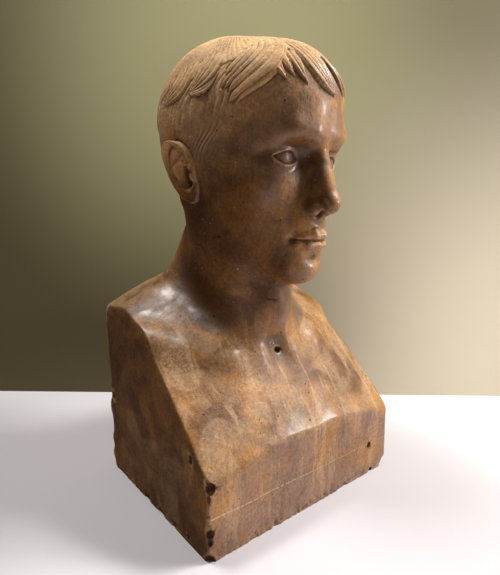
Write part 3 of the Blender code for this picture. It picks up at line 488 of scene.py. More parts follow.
def locks():
    """Every lock: start, bend and end in the chart, half widths, blunt or not, strands, share of the rise."""
    found = []

    def add(start, bend, end, wide, blunt, strands, top):
        found.append((chart_point(*start), chart_point(*bend), chart_point(*end), wide, blunt, strands, top))

    broad, middle, slim = (0.18, 0.27, 0.20), (0.13, 0.23, 0.12), (0.05, 0.072, 0.014)
    for k in range(7):
        turn = -108 + 36 * k
        away = 1 - 2 * (k > 3)
        add((0.20, turn + 6 * away), (0.94, turn + 15 * away), (1.10, turn - 19 * away),
            (0.16, 0.28, 0.10), 0, 6, 0.40)
    add((0.30, -95), (1.28, -78), (1.22, -111), (0.13, 0.21, 0.06), 0, 5, 0.64)
    add((0.30, -56), (1.20, -54), (1.27, -83), (0.15, 0.23, 0.05), 0, 5, 0.70)
    add((1.02, -53), (1.50, -63), (1.29, -84), (0.03, 0.042, 0.02), 0, 1, 0.85)
    add((0.34, -30), (1.54, -17), (1.46, -56), broad, 1, 6, 0.78)
    add((0.70, -24), (1.44, -30), (1.55, -25), slim, 0, 2, 0.61)
    add((0.70, -20), (1.40, -25), (1.54, -21), slim, 0, 2, 0.58)
    add((0.75, -14), (1.46, -21), (1.61, -15), slim, 0, 2, 0.58)
    add((0.35, -18), (1.59, -13), (1.67, 2), (0.12, 0.18, 0.03), 0, 5, 0.70)
    add((0.35, 6), (1.46, 2), (1.64, 13), (0.09, 0.13, 0.02), 0, 3, 0.61)
    add((0.35, 20), (1.42, 17), (1.58, 29), (0.10, 0.15, 0.03), 0, 4, 0.67)
    add((0.34, 32), (1.50, 22), (1.38, 58), broad, 1, 6, 0.73)
    add((0.30, 66), (1.22, 56), (1.26, 88), (0.14, 0.24, 0.08), 0, 5, 0.67)
    add((0.30, 100), (1.12, 86), (1.20, 116), (0.13, 0.23, 0.10), 0, 5, 0.61)
    for k in range(4):
        away = 1 - 2 * (k > 1)
        turn = 133 + 31 * k
        add((0.32, turn), (1.16, turn - 4 * away), (1.24 + 0.05 * (k % 2), turn + 16 * away),
            middle, 0, 5, 0.61)
    for k in range(9):
        turn = -160 + 40.0 * k
        add((0.02, turn - 40), (0.42, turn - 30), (0.66, turn + 14), (0.02, 0.17, 0.05), 0, 4, 0.42)
    return found


def crop_mask(f, u):
    """1 where the hair is cropped close, below the locks and inside the hairline."""
    line = 0.24 - 0.16 * ease((0.80 - u) / 0.36) + 0.010 * np.sin(22.0 * u)
    low = ease((u - 0.30) / 0.04)
    nape = ease((u - 0.22 - 0.35 * np.clip(f + 0.25, 0.0, 1.0)) / 0.05)
    return ease((line - f) / 0.05) * np.where(f > -0.02, low, nape)


def hair_height(x, f, u, groove, crop):
    """Height of the hair over a point of the head: locks laid over a cap, cropped lines below."""
    a, b = hair_chart(x, f, u)
    far, turn = np.hypot(a, b), np.arctan2(b, a)
    rim = 1.10 + 0.25 * np.exp(-(np.degrees(turn) / 52.0) ** 2)
    body = 0.36 * HAIR_RISE * ease((rim - far) / 0.05)
    swirl = 17.0 * turn + 2.6 * far + 1.5 * np.sin(3.0 * turn + 4.0 * far)
    furrow = (1.0 - np.abs(np.sin(np.pi * swirl))) ** 1.4 * ease(far / 0.2)
    furrow = CAP_FURROW * furrow * ease((rim - far) / 0.08)
    for i, lock in enumerate(locks()):
        over, lines = lock_height(a, b, lock, 0.37 * i, ease(groove / 0.0006))
        raised = lock[6] > 0.5
        furrow = np.where(over > body, lines * (1.0 if raised else LOW_LOCK_FURROW), furrow)
        body = np.maximum(over, body)
    lean = 0.2 + 0.8 * ease((f + 0.12) / 0.18)
    meridian = np.arctan2(np.abs(x), f + 0.12) + lean * (u - 0.6)
    bend = 0.55 * np.sin(24.0 * u + 6.0 * meridian) + 0.22 * np.sin(53.0 * u + 9.0 * meridian)
    bend = bend + 0.8 * np.sin(5.0 * meridian + 3.0)
    fine = np.abs(np.sin(np.pi * (15.0 * meridian + bend)))
    strength = 0.60 + 0.40 * np.sin(9.0 * meridian + 15.0 * u + 1.0) * np.sin(11.0 * u - 7.0 * meridian)
    strength = strength * (0.45 + 0.55 * ease((f + 0.10) / 0.10) + 0.3 * ease((-0.25 - f) / 0.1))
    cropped = crop * crop_mask(f, u) * (0.8 + strength * (fine - 0.7))
    height = np.maximum(body - groove * furrow * ease(body / 0.0012), cropped * ease(1.0 - body / 0.0012))
    beside = f - EAR_PLACE[0] - EAR_LEAN * (u - EAR_PLACE[1])
    on_ear = ease(1.45 - np.hypot(beside / 0.080, (u - EAR_PLACE[1]) / 0.120)) * (np.abs(x) > 0.20)
    return height * (1.0 - on_ear) * (u > 0.15)


# Grid of rays that finds the surface
def column_angles(front, side, back):
    """Angle of each column round the casting, with one exactly on each vertical edge of the block."""
    corner = np.arctan2(BLOCK_WIDTH, BLOCK_DEPTH)
    return np.concatenate([np.linspace(-corner, corner, front, endpoint=False),
                           np.linspace(corner, np.pi - corner, side, endpoint=False),
                           np.linspace(np.pi - corner, np.pi + corner, back, endpoint=False),
                           np.linspace(np.pi + corner, 2.0 * np.pi - corner, side, endpoint=False)])


def outward(angle, rise):
    """Unit direction for an angle round the casting and a rise above level."""
    return np.stack([np.cos(rise) * np.sin(angle), -np.cos(rise) * np.cos(angle), np.sin(rise)], -1)


def block_outline(angle):
    """Point of the block's plan in the direction of a column."""
    dx, dy = np.sin(angle), -np.cos(angle)
    k = np.minimum(BLOCK_WIDTH / 2 / np.maximum(np.abs(dx), 1e-9),
                   BLOCK_DEPTH / 2 / np.maximum(np.abs(dy), 1e-9))
    return k * dx, k * dy


def head_way(angle, polar, tilt):
    """Unit direction from the head's centre, by column and angle from the crown, leaning back by a tilt."""
    x, f, u = np.sin(angle) * np.sin(polar), np.cos(angle) * np.sin(polar), np.cos(polar)
    f, u = np.cos(tilt) * f - np.sin(tilt) * u, np.sin(tilt) * f + np.cos(tilt) * u
    way = np.stack(from_head(x, f, u), -1) - np.array(from_head(0.0, 0.0, 0.0))
    return way / np.linalg.norm(way, axis=-1, keepdims=True)


def rays(angle, rows):
    """Start, direction and reach of the rays: chest, neck, under the jaw, then the head up to its crown."""
    chest, neck_rows, jaw, head = rows
    ahead = np.cos(angle)
    front = ease((ahead + 1.0) / 2.0)
    deep = 0.74 * NECK_RADIUS
    starts, ways, near, far = [], [], [], []
    px, py = block_outline(angle)
    foot_x = 1.3 * NECK_RADIUS * np.sin(angle)
    foot_y = 0.82 * NECK_FOOT[1] - mix(0.94, 1.26, front) * NECK_RADIUS * ahead
    foot_z = mix(SHOULDER_HEIGHT + 0.18 * CLIMB, NOTCH[2] + 0.16 * CLIMB, front)
    foot_rise = np.radians(mix(42.0, 30.0, front))
    s = np.arange(1, chest + 1)[:, None] / chest
    x, y = mix(px, foot_x, s), mix(py, foot_y, s)
    ground = roof(x, y)
    z = mix(ground, np.maximum(foot_z, ground), ease((s - 0.55) / 0.45))
    way = outward(angle + 0.0 * s, mix(np.pi / 2, foot_rise, ease(s)))
    starts.append(np.stack([x, y, z], -1) - deep * way)
    ways.append(way)
    near.append(np.zeros(x.shape))
    far.append(np.full(x.shape, 1.9 * deep))
    top_rise = np.radians(mix(-2.0, -38.0, ease((ahead + 0.55) / 1.3)))
    top_z = CHIN_LEVEL + NECK_RADIUS * mix(0.72, -0.15, ease((ahead + 0.65) / 1.45))
    collar = starts[-1][-1] + deep * way[-1]
    middle = mix(NECK_FOOT[1], NECK_TOP[1], 0.75)
    top = np.stack([0.97 * NECK_RADIUS * np.sin(angle), middle - 0.97 * NECK_RADIUS * ahead, top_z], -1)
    s = np.arange(1, neck_rows + 1)[:, None] / neck_rows
    way = outward(angle + HEAD_TURN * s, mix(foot_rise, top_rise, ease(s)))
    starts.append(mix(collar, top, s[..., None]) - deep * way)
    ways.append(way)
    near.append(np.zeros(way.shape[:2]))
    far.append(np.full(way.shape[:2], 1.9 * deep))
    centre = np.array(from_head(0.0, -0.005, 0.36))
    low = np.radians(mix(104.0, 140.0, ease((ahead + 0.53) / 1.53)))
    reach = HEAD_HEIGHT * mix(0.272, 0.472, ease((ahead + 0.3) / 1.3))
    first = centre + head_way(angle, low, 0.0) * reach[:, None]
    last = starts[-1][-1] + deep * way[-1]
    s = (np.arange(1, jaw + 1) / jaw)[:, None, None]
    begin = mix(starts[-1][-1], centre, s)
    way = mix(last, first, s) - begin
    size = np.linalg.norm(way, axis=-1)
    starts.append(begin)
    ways.append(way / size[..., None])
    near.append(np.zeros(size.shape))
    far.append(size + 0.9 * deep)
    s = np.arange(1, head + 1)[:, None] / head
    polar = low * (1.0 - s)
    way = head_way(angle, polar, np.radians(16.0) * ease((s - 0.35) / 0.65))
    climb = np.array(from_head(0.0, -0.005, 0.56)) - centre
    starts.append(centre + climb * ease(s / 0.6)[..., None] + 0.0 * way)
    ways.append(way)
    near.append(np.full(polar.shape, 0.07 * HEAD_HEIGHT))
    far.append(mix(reach + 0.9 * deep, 0.72 * HEAD_HEIGHT, ease(s / 0.3)))
    return np.concatenate(starts), np.concatenate(ways), np.concatenate(near), np.concatenate(far)


def outermost(start, way, near, far):
    """Outermost point of the form on each ray, by stepping inwards and then halving."""
    o, w = start.reshape(-1, 3), way.reshape(-1, 3)
    lo, hi = near.reshape(-1).copy(), far.reshape(-1).copy()
    begin, end = lo.copy(), hi.copy()
    waiting = np.arange(len(lo))
    steps = 52
    for k in range(1, steps + 1):
        t = mix(end[waiting], begin[waiting], k / steps)
        q = o[waiting] + w[waiting] * t[:, None]
        hit = casting(q[:, 0], q[:, 1], q[:, 2]) < 0.0
        lo[waiting[hit]] = t[hit]
        hi[waiting[hit]] = mix(end[waiting[hit]], begin[waiting[hit]], (k - 1) / steps)
        waiting = waiting[~hit]
        if len(waiting) == 0:
            break
    for _ in range(10):
        t = (lo + hi) / 2
        q = o + w * t[:, None]
        inside = casting(q[:, 0], q[:, 1], q[:, 2]) < 0.0
        lo, hi = np.where(inside, t, lo), np.where(inside, hi, t)
    return ((lo + hi) / 2).reshape(near.shape)


def close_in(start, way, reach):
    """Walks every ray inwards from just outside the form by the distance left, until it meets the form."""
    o, w, t = start.reshape(-1, 3), way.reshape(-1, 3), reach.reshape(-1).copy()
    for _ in range(9):
        q = o + w * t[:, None]
        t = t - np.clip(0.9 * casting(q[:, 0], q[:, 1], q[:, 2]), -0.0008, 0.012)
    return (o + w * t[:, None]).reshape(start.shape)


# Wear of the block
def scoop(p, centre, radius, inward):
    """Points inside a ball are pushed inwards onto its far side."""
    inward = np.array(inward) / np.linalg.norm(inward)
    v = p - np.array(centre)
    along = v @ inward
    inside = radius ** 2 - (v * v).sum(-1)
    push = -along + np.sqrt(np.maximum(along ** 2 + inside, 0.0))
    return p + np.where(inside > 0.0, push, 0.0)[..., None] * inward


def chips():
    """Losses along the block's edges: centre, radius and the way in."""
    w, d, h, e = BLOCK_WIDTH / 2, BLOCK_DEPTH / 2, FRONT_HEIGHT, EDGE_CHIP
    return [((-w - 0.25 * e, -d - 0.05 * e, 1.10 * h), 0.95 * e, (1.0, 0.8, 0.1)),
            ((-w + 0.25 * e, -d - 0.35 * e, 0.97 * h), 0.95 * e, (1.0, 1.0, 0.3)),
            ((-w - 0.35 * e, -d - 0.35 * e, 0.84 * h), 0.85 * e, (1.0, 1.0, 0.0)),
            ((-w + 0.05 * e, -d - 0.25 * e, 0.38 * h), 0.80 * e, (1.0, 1.0, 0.0)),
            ((-w - 0.1 * e, -d - 0.3 * e, 0.27 * h), 0.75 * e, (1.0, 1.0, 0.2)),
            ((-w - 0.4 * e, -d - 0.4 * e, 0.0), 1.4 * e, (1.0, 1.0, 0.9)),
            ((-w - 0.2 * e, d + 0.2 * e, 1.24 * h), 1.3 * e, (1.0, -1.0, 0.0)),
            ((-w - 0.5 * e, d + 0.5 * e, 0.72 * h), 1.5 * e, (1.0, -1.0, 0.0)),
            ((-w - 0.7 * e, d + 0.7 * e, 0.0), 2.2 * e, (1.0, -1.0, 0.6)),
            ((w + 0.7 * e, -d - 0.7 * e, -0.04 * h), 2.4 * e, (-1.0, 1.0, 0.8))]


def soften(points):
    """Rounds the block's arrises: rows by the top edge and columns by the corners ease to their neighbours."""
    rows, edge = len(points), ROWS[0]
    wide = np.exp(-((np.arange(rows) - edge) / EDGE_SPREAD) ** 2)[1:-1, None, None]
    angle = column_angles(*COLUMNS)
    corner = np.arctan2(BLOCK_WIDTH, BLOCK_DEPTH)
    corners = (corner, -corner, np.pi - corner, np.pi + corner)
    apart = np.min([np.abs(np.sin((angle - c) / 2.0)) for c in corners], axis=0)
    below = ease((edge + 12.0 - np.arange(rows)) / 12.0)
    near = np.exp(-(apart / CORNER_SPREAD) ** 2)[None, :, None] * below[:, None, None]
    for _ in range(SOFTENING_ROUNDS):
        between = 0.5 * (points[:-2] + points[2:])
        points[1:-1] = mix(points[1:-1], between, 0.75 * wide)
        beside = 0.5 * (np.roll(points, 1, axis=1) + np.roll(points, -1, axis=1))
        points = mix(points, beside, 0.15 * near)
    points[0, :, 2] = 0.0
    return points


def ripple(p, size, seed):
    """Smooth unevenness between about -1 and 1: sine waves of that length in nine directions, added up."""
    draw = np.random.default_rng(seed)
    total = 0.0
    for _ in range(9):
        way = draw.normal(size=3)
        way /= np.linalg.norm(way)
        wave = size * draw.uniform(0.7, 1.5)
        total = total + np.sin(2.0 * np.pi * (p @ way) / wave + draw.uniform(0.0, 2.0 * np.pi))
    return total / 3.5


def grid_normals(points):
    """Outward unit normal of every grid point: the steps along its column and its row, crossed."""
    along = np.roll(points, -1, axis=1) - np.roll(points, 1, axis=1)
    up = np.gradient(points, axis=0)
    normal = np.cross(along, up)
    return normal / (np.linalg.norm(normal, axis=-1, keepdims=True) + 1e-12)


def weathered(points):
    """Uneven plaster, crumbled lower edges and a ragged rear arris."""
    normal = grid_normals(points)
    skin = 0.00030 * ripple(points, 0.050, SEED) + 0.00012 * ripple(points, 0.017, SEED + 1)
    low = ease(1.0 - points[..., 2] / 0.016)
    bite = ease((ripple(points, 0.020, SEED + 2) - 0.25) / 0.7)
    bite = bite + 0.5 * ease((ripple(points, 0.007, SEED + 3) - 0.1) / 0.6)
    aside = points[..., 0] + BLOCK_WIDTH / 2
    rear = np.exp(-(np.hypot(aside, points[..., 1] - BLOCK_DEPTH / 2) / 0.011) ** 2)
    ragged = rear * ease((0.19 - points[..., 2]) / 0.05) * (0.5 + ripple(points, 0.026, SEED + 4))
    arris = np.exp(-(np.hypot(aside, points[..., 1] + BLOCK_DEPTH / 2) / 0.0035) ** 2)
    nicks = arris * ease((ripple(points, 0.011, SEED + 5) - 0.1) / 0.8)
    loss = 0.0016 * low * bite + 0.0030 * np.maximum(ragged, 0.0) + 0.0011 * nicks
    inward = points * np.array([1.0, 1.0, 0.0])
    inward = -inward / (np.linalg.norm(inward, axis=-1, keepdims=True) + 1e-9)
    wall = (points[..., 2] < roof(points[..., 0], points[..., 1]) + 0.004)[..., None]
    points = points + normal * np.minimum(skin, 0.0006)[..., None]
    points = points + np.where(wall, inward * loss[..., None], 0.0)
    points[0, :, 2] = 0.0
    return points


def holes():
    """Small round losses: centre, radius and the way in."""
    w, d = BLOCK_WIDTH / 2, BLOCK_DEPTH / 2
    found = [((-0.003, -0.0580, 0.1845), 0.0042, (0.0, 0.8, -0.6)),
             ((0.1115, -d, 0.0430), 0.0026, (0.0, 1.0, 0.0)),
             ((0.1115, -d, 0.0400), 0.0024, (0.0, 1.0, 0.0)),
             ((0.1190, -d, 0.0020), 0.0030, (0.0, 1.0, 0.0)),
             ((-w, -0.0910, 0.1040), 0.0026, (1.0, 0.0, 0.0)),
             ((-w, -0.0915, 0.1000), 0.0026, (1.0, 0.0, 0.0)),
             ((-w, -0.0830, 0.0070), 0.0028, (1.0, 0.0, 0.0)),
             ((-w, 0.1070, 0.1070), 0.0045, (1.0, -0.3, 0.0))]
    return found


def bust_grid(groove, crop):
    """Points of the whole surface, a row per height and a column per direction."""
    angle = column_angles(*COLUMNS)
    start, way, near, far = rays(angle, ROWS[1:])
    rows, columns = near.shape
    keep = np.unique(np.concatenate([np.arange(0, rows, COARSE), [rows - 1]]))
    pick = np.arange(0, columns, COARSE)
    coarse = outermost(start[keep][:, pick], way[keep][:, pick], near[keep][:, pick], far[keep][:, pick])
    top = np.maximum(coarse, np.roll(coarse, -1, axis=1))
    top = np.maximum(top, np.concatenate([top[1:], top[-1:]]))
    i = np.searchsorted(keep, np.arange(rows), side="right") - 1
    j = np.minimum(np.arange(columns) // COARSE, len(pick) - 1)
    reach = np.minimum(top[i][:, j] + 0.0015, far)
    skin = close_in(start, way, reach)
    hx, hf, hu = to_head(skin[..., 0], skin[..., 1], skin[..., 2])
    skin = skin + way * (hair_height(hx, hf, hu, groove, crop) + ear_height(hx, hf, hu))[..., None]
    px, py = block_outline(angle)
    s = np.linspace(0.0, 1.0, ROWS[0] + 1)[:, None]
    wall = np.stack([px + 0.0 * s, py + 0.0 * s, roof(px, py) * s], -1)
    points = np.concatenate([wall, skin])
    points = weathered(soften(points))
    losses = chips() + [(nearest(points, centre), radius, inward) for centre, radius, inward in holes()]
    for centre, radius, inward in losses:
        points = scoop(points, centre, radius, inward)
    points[0, :, 2] = 0.0
    return np.clip(points, np.array(CAD_BOX[0]), np.array(CAD_BOX[1])), losses


def nearest(points, place):
    """Point of the grid that lies closest to a place."""
    flat = points.reshape(-1, 3)
    return flat[np.argmin(((flat - np.array(place)) ** 2).sum(-1))]


def close_grid(points):
    """Vertices and faces of the grid with a flat underside and one point at the crown."""
    rows, columns = points.shape[:2]
    verts = points[:-1].reshape(-1, 3)
    verts = np.concatenate([verts, [points[-1].mean(0)], [[0.0, 0.0, 0.0]]])
    crown, foot = len(verts) - 2, len(verts) - 1
    r, c = np.meshgrid(np.arange(rows - 2), np.arange(columns), indexing="ij")
    n = (c + 1) % columns
    quads = np.stack([r * columns + c, r * columns + n, (r + 1) * columns + n, (r + 1) * columns + c], -1)
    quads = quads.reshape(-1, 4)
    k = np.arange(columns)
    ring = (rows - 2) * columns
    top = np.stack([ring + k, ring + (k + 1) % columns, crown + 0 * k], -1)
    low = np.stack([(k + 1) % columns, k, foot + 0 * k], -1)
    return verts, quads, np.concatenate([top, low])


def mesh_of(name, verts, quads, triangles):
    """Mesh from whole arrays of vertices, quads and triangles."""
    mesh = bpy.data.meshes.new(name)
    mesh.vertices.add(len(verts))
    mesh.vertices.foreach_set("co", verts.astype(np.float32).reshape(-1))
    corners = np.concatenate([quads.reshape(-1), triangles.reshape(-1)])
    sizes = np.concatenate([np.full(len(quads), 4), np.full(len(triangles), 3)])
    mesh.loops.add(len(corners))
    mesh.loops.foreach_set("vertex_index", corners.astype(np.int32))
    mesh.polygons.add(len(sizes))
    mesh.polygons.foreach_set("loop_start", (np.cumsum(sizes) - sizes).astype(np.int32))
    mesh.update(calc_edges=True)
    return mesh


def thinned(mesh, triangles):
    """Copy of a mesh with flat stretches thinned out until it has the given count of triangles."""
    carrier = bpy.data.objects.new("fine_bust", mesh)
    bpy.context.scene.collection.objects.link(carrier)
    carrier.modifiers.new("triangles", "TRIANGULATE")
    thin = carrier.modifiers.new("thin", "DECIMATE")
    thin.ratio = triangles / (2.0 * len(mesh.vertices))
    graph = bpy.context.evaluated_depsgraph_get()
    lean = bpy.data.meshes.new_from_object(carrier.evaluated_get(graph))
    bpy.data.objects.remove(carrier, do_unlink=True)
    bpy.data.meshes.remove(mesh)
    return lean


def sunken(points, step, rounds):
    """How far each grid point lies below a smoothed copy of the grid, in metres; the copy may be coarser."""
    part = points[::step, ::step]
    level = part.copy()
    for _ in range(rounds):
        level[1:-1] = 0.5 * level[1:-1] + 0.25 * (level[:-2] + level[2:])
        level = 0.5 * level + 0.25 * (np.roll(level, 1, axis=1) + np.roll(level, -1, axis=1))
    depth = ((level - part) * grid_normals(part)).sum(-1)
    for axis in (0, 1):
        count = points.shape[axis]
        at = np.minimum(np.arange(count) / step, depth.shape[axis] - 1.0)
        i = np.minimum(at.astype(int), depth.shape[axis] - 2)
        t = (at - i).reshape((-1, 1) if axis == 0 else (1, -1))
        depth = mix(np.take(depth, i, axis), np.take(depth, i + 1, axis), t)
    return depth


def per_vertex(values):
    """Numbers of the grid in the order of the closed mesh's vertices."""
    return np.concatenate([values[:-1].reshape(-1), [values[-1].mean(), 0.0]])


def broken(co, losses):
    """1 inside the chips and holes, 0 on the old surface: how close a vertex lies to one of their balls."""
    mask = np.zeros(len(co))
    for centre, radius, _ in losses:
        left = radius + LOSS_EDGE - np.linalg.norm(co - np.array(centre), axis=1)
        mask = np.maximum(mask, ease(left / LOSS_EDGE))
    return mask


def store(mesh, name, values):
    """Keeps one number per vertex in a named attribute."""
    layer = mesh.attributes.new(name, "FLOAT", "POINT")
    layer.data.foreach_set("value", np.asarray(values, np.float32))


# Patina, as shader nodes
class Wiring:
    """Adds nodes to one tree and joins them: a value that is a socket is linked, any other is set."""

    def __init__(self, tree):
        self.tree = tree

    def feed(self, socket, value):
        """Links or sets one input socket."""
        if isinstance(value, bpy.types.NodeSocket):
            self.tree.links.new(value, socket)
        else:
            socket.default_value = value

    def add(self, kind, inputs=(), **settings):
        """New node of a kind, with its settings and its inputs by name or number."""
        made = self.tree.nodes.new("ShaderNode" + kind)
        for key, value in settings.items():
            setattr(made, key, value)
        for key, value in dict(inputs).items():
            self.feed(made.inputs[key], value)
        return made

    def math(self, operation, a, b=0.0, clamp=False):
        """One of Blender's sums on two numbers."""
        return self.add("Math", {0: a, 1: b}, operation=operation, use_clamp=clamp).outputs[0]

    def plus(self, a, b, clamp=False):
        """Sum of two numbers."""
        return self.math("ADD", a, b, clamp)

    def less(self, a, b, clamp=False):
        """First number less the second."""
        return self.math("SUBTRACT", a, b, clamp)

    def times(self, a, b):
        """Product of two numbers."""
        return self.math("MULTIPLY", a, b)

    def larger(self, a, b):
        """Larger of two numbers."""
        return self.math("MAXIMUM", a, b)

    def offset(self, at, centre):
        """Place measured from a centre."""
        return self.add("VectorMath", {0: at, 1: centre}, operation="SUBTRACT").outputs[0]

    def length(self, at):
        """Distance of a place from the origin."""
        return self.add("VectorMath", {0: at}, operation="LENGTH").outputs["Value"]

    def step(self, value, low, high):
        """0 below low, 1 above high, eased between."""
        return self.add("MapRange", {0: value, 1: low, 2: high}, interpolation_type="SMOOTHSTEP").outputs[0]

    def noise(self, at, scale, detail=3.0, rough=0.5, warp=0.0):
        """Cloudy noise from 0 to 1 at a place."""
        inputs = {"Vector": at, "Scale": scale, "Detail": detail, "Roughness": rough, "Distortion": warp}
        return self.add("TexNoise", inputs).outputs[0]

    def stretched(self, at, scale):
        """Place scaled by its own factor along each axis."""
        return self.add("VectorMath", {0: at, 1: scale}, operation="MULTIPLY").outputs[0]

    def mixed(self, share, a, b):
        """Colour a, turning to colour b by a share."""
        made = self.add("Mix", data_type="RGBA")
        self.feed(made.inputs[0], share)
        self.feed(made.inputs[6], a)
        self.feed(made.inputs[7], b)
        return made.outputs[2]


def spots_group():
    """Scattered round spots: a share of the cells of a Voronoi pattern, each with a soft round dot."""
    group = bpy.data.node_groups.new("scattered_spots", "ShaderNodeTree")
    for name, kind in (("Place", "NodeSocketVector"), ("Scale", "NodeSocketFloat"),
                       ("Share", "NodeSocketFloat"), ("Size", "NodeSocketFloat")):
        group.interface.new_socket(name, in_out="INPUT", socket_type=kind)
    group.interface.new_socket("Mask", in_out="OUTPUT", socket_type="NodeSocketFloat")
    wires = Wiring(group)
    given = group.nodes.new("NodeGroupInput")
    result = group.nodes.new("NodeGroupOutput")
    cells = wires.add("TexVoronoi", {"Vector": given.outputs["Place"], "Scale": given.outputs["Scale"]})
    parts = wires.add("SeparateColor", {0: cells.outputs["Color"]})
    some = wires.math("LESS_THAN", parts.outputs[0], given.outputs["Share"])
    radius = wires.times(given.outputs["Size"], wires.plus(0.35, parts.outputs[1]))
    dot = wires.less(1.0, wires.math("DIVIDE", cells.outputs["Distance"], radius), clamp=True)
    soft = wires.step(dot, 0.0, 0.5)
    wires.feed(result.inputs["Mask"], wires.times(soft, some))
    return group


def patina_material(colours):
    """Brown shellac over plaster: mottled, streaked, pale where rubbed, dark in fine creases and chips, with
    painted shade in broad hollows and partly on the sides.
    """
    material = bpy.data.materials.new("shellacked_plaster")
    material.use_nodes = True
    tree = material.node_tree
    shader = tree.nodes["Principled BSDF"]
    wires = Wiring(tree)
    spots = spots_group()
    place = wires.add("TexCoord").outputs["Object"]
    normal = wires.add("SeparateXYZ", {0: wires.add("NewGeometry").outputs["Normal"]})
    xyz = wires.add("SeparateXYZ", {0: place})
    crease = wires.add("Attribute", attribute_name="crease").outputs["Fac"]
    # How deep each point lies in a broad hollow, which sets the painted shade in hollows
    hollow = wires.add("Attribute", attribute_name="hollow").outputs["Fac"]
    chipped = wires.add("Attribute", attribute_name="chipped").outputs["Fac"]

    def dots(scale, share, size):
        made = wires.add("Group", node_tree=spots)
        for key, value in (("Place", place), ("Scale", scale), ("Share", share), ("Size", size)):
            wires.feed(made.inputs[key], value)
        return made.outputs[0]

    cloud = wires.noise(place, 11.0, 5.0, 0.6, 0.6)
    blotch = wires.noise(place, 30.0, 4.0, 0.52, 0.6)
    grain = wires.noise(place, 300.0, 4.0, 0.65)
    streak = wires.noise(wires.stretched(place, (36.0, 8.0, 8.0)), 1.0, 4.0, 0.6, 0.9)
    drip = wires.noise(wires.stretched(place, (75.0, 11.0, 11.0)), 1.0, 3.0, 0.55, 0.5)
    brush = wires.noise(wires.stretched(place, (420.0, 60.0, 60.0)), 1.0, 3.0, 0.6)

    # Mottled ground, with streaks and drips that run down
    colour = wires.mixed(wires.step(cloud, 0.38, 0.60), colours.shellac, colours.ochre)
    colour = wires.mixed(wires.times(wires.step(blotch, 0.47, 0.64), 0.60), colour, colours.mauve)
    colour = wires.mixed(wires.times(wires.step(streak, 0.53, 0.68), 0.55), colour, colours.ochre)
    colour = wires.mixed(wires.times(wires.step(streak, 0.48, 0.34), 0.45), colour, colours.shellac)
    ran = wires.times(wires.step(drip, 0.54, 0.62), wires.step(xyz.outputs["Z"], 0.26, 0.20))
    colour = wires.mixed(wires.times(ran, 0.38), colour, colours.faded)

    # Pinkish front face, pale hair and paler faces that look up
    front = wires.step(wires.times(normal.outputs["Y"], -1.0), 0.80, 0.97)
    front = wires.times(front, wires.step(xyz.outputs["Z"], 0.115, 0.090))
    colour = wires.mixed(wires.times(front, wires.step(cloud, 0.75, 0.25)), colour, colours.bloom)
    facing_up = wires.step(normal.outputs["Z"], 0.10, 0.80)
    high = wires.step(wires.plus(xyz.outputs["Z"], wires.times(xyz.outputs["X"], -0.9)), 0.445, 0.560)
    faded = wires.times(wires.plus(0.55, wires.times(facing_up, 0.45)), high)
    faded = wires.larger(faded, wires.times(facing_up, wires.times(wires.step(blotch, 0.36, 0.56), 0.35)))
    colour = wires.mixed(faded, colour, colours.faded)

    # Sides below the hair: darker and duller, partly a darker finish and partly painted shade
    side = wires.step(wires.math("ABSOLUTE", normal.outputs["X"]), 0.45, 0.95)
    dark_and_shaded_sides = wires.times(side, wires.less(1.0, high))
    # Partly painted shade: faces turned to either side are darkened as if out of the light
    colour = wires.mixed(wires.times(dark_and_shaded_sides, 0.62), colour, colours.shellac_and_shade)

    # Broad and fine unevenness of tone
    soot = wires.times(wires.step(wires.noise(place, 26.0, 4.0, 0.6), 0.36, 0.64), 0.34)
    crumb = wires.times(wires.step(grain, 0.30, 0.70), 0.46)
    tone = wires.plus(wires.plus(0.56, soot), crumb)
    colour = wires.add("HueSaturation", {"Value": tone, "Color": colour}).outputs[0]

    # Painted shade in broad hollows such as the sockets, dark old shellac in fine creases, pale rubbed ridges
    # Painted shade: points lying well below the broadly smoothed surface are darkened as if in shade
    deep = wires.step(hollow, 0.0006, 0.0040)
    colour = wires.mixed(wires.times(deep, 0.75), colour, colours.shellac_and_shade)
    dirt = wires.step(wires.plus(crease, wires.times(wires.less(grain, 0.5), DIRT_GRAIN)), 0.00004, 0.00034)
    colour = wires.mixed(wires.times(dirt, 0.6), colour, colours.shellac_and_shade)
    rubbed = wires.step(wires.less(wires.times(wires.less(grain, 0.5), RUB_GRAIN), crease), 0.00006, 0.00034)
    rubbed = wires.times(rubbed, wires.plus(0.15, wires.times(wires.step(blotch, 0.40, 0.62), 0.40)))
    colour = wires.mixed(rubbed, colour, colours.faded)

    # Faint pale patch on the right breast, longer than it is wide, with a ragged rim
    flat = wires.stretched(wires.offset(place, PATCH_CENTRE), PATCH_SQUASH)
    ragged = wires.times(wires.less(wires.noise(place, 55.0, 4.0, 0.6), 0.5), 0.010)
    reach = wires.plus(wires.length(flat), ragged)
    patch = wires.step(reach, PATCH_RADIUS, PATCH_RADIUS - 0.0030)
    rim = wires.times(patch, wires.step(reach, PATCH_RADIUS - 0.006, PATCH_RADIUS - 0.002))
    flecks = wires.step(wires.noise(place, 360.0, 2.0, 0.6), 0.44, 0.64)
    bare = wires.times(patch, wires.plus(0.10, wires.times(flecks, 0.50)))
    shown = wires.plus(bare, wires.times(rim, wires.times(blotch, 0.35)), clamp=True)
    colour = wires.mixed(shown, colour, colours.faded)

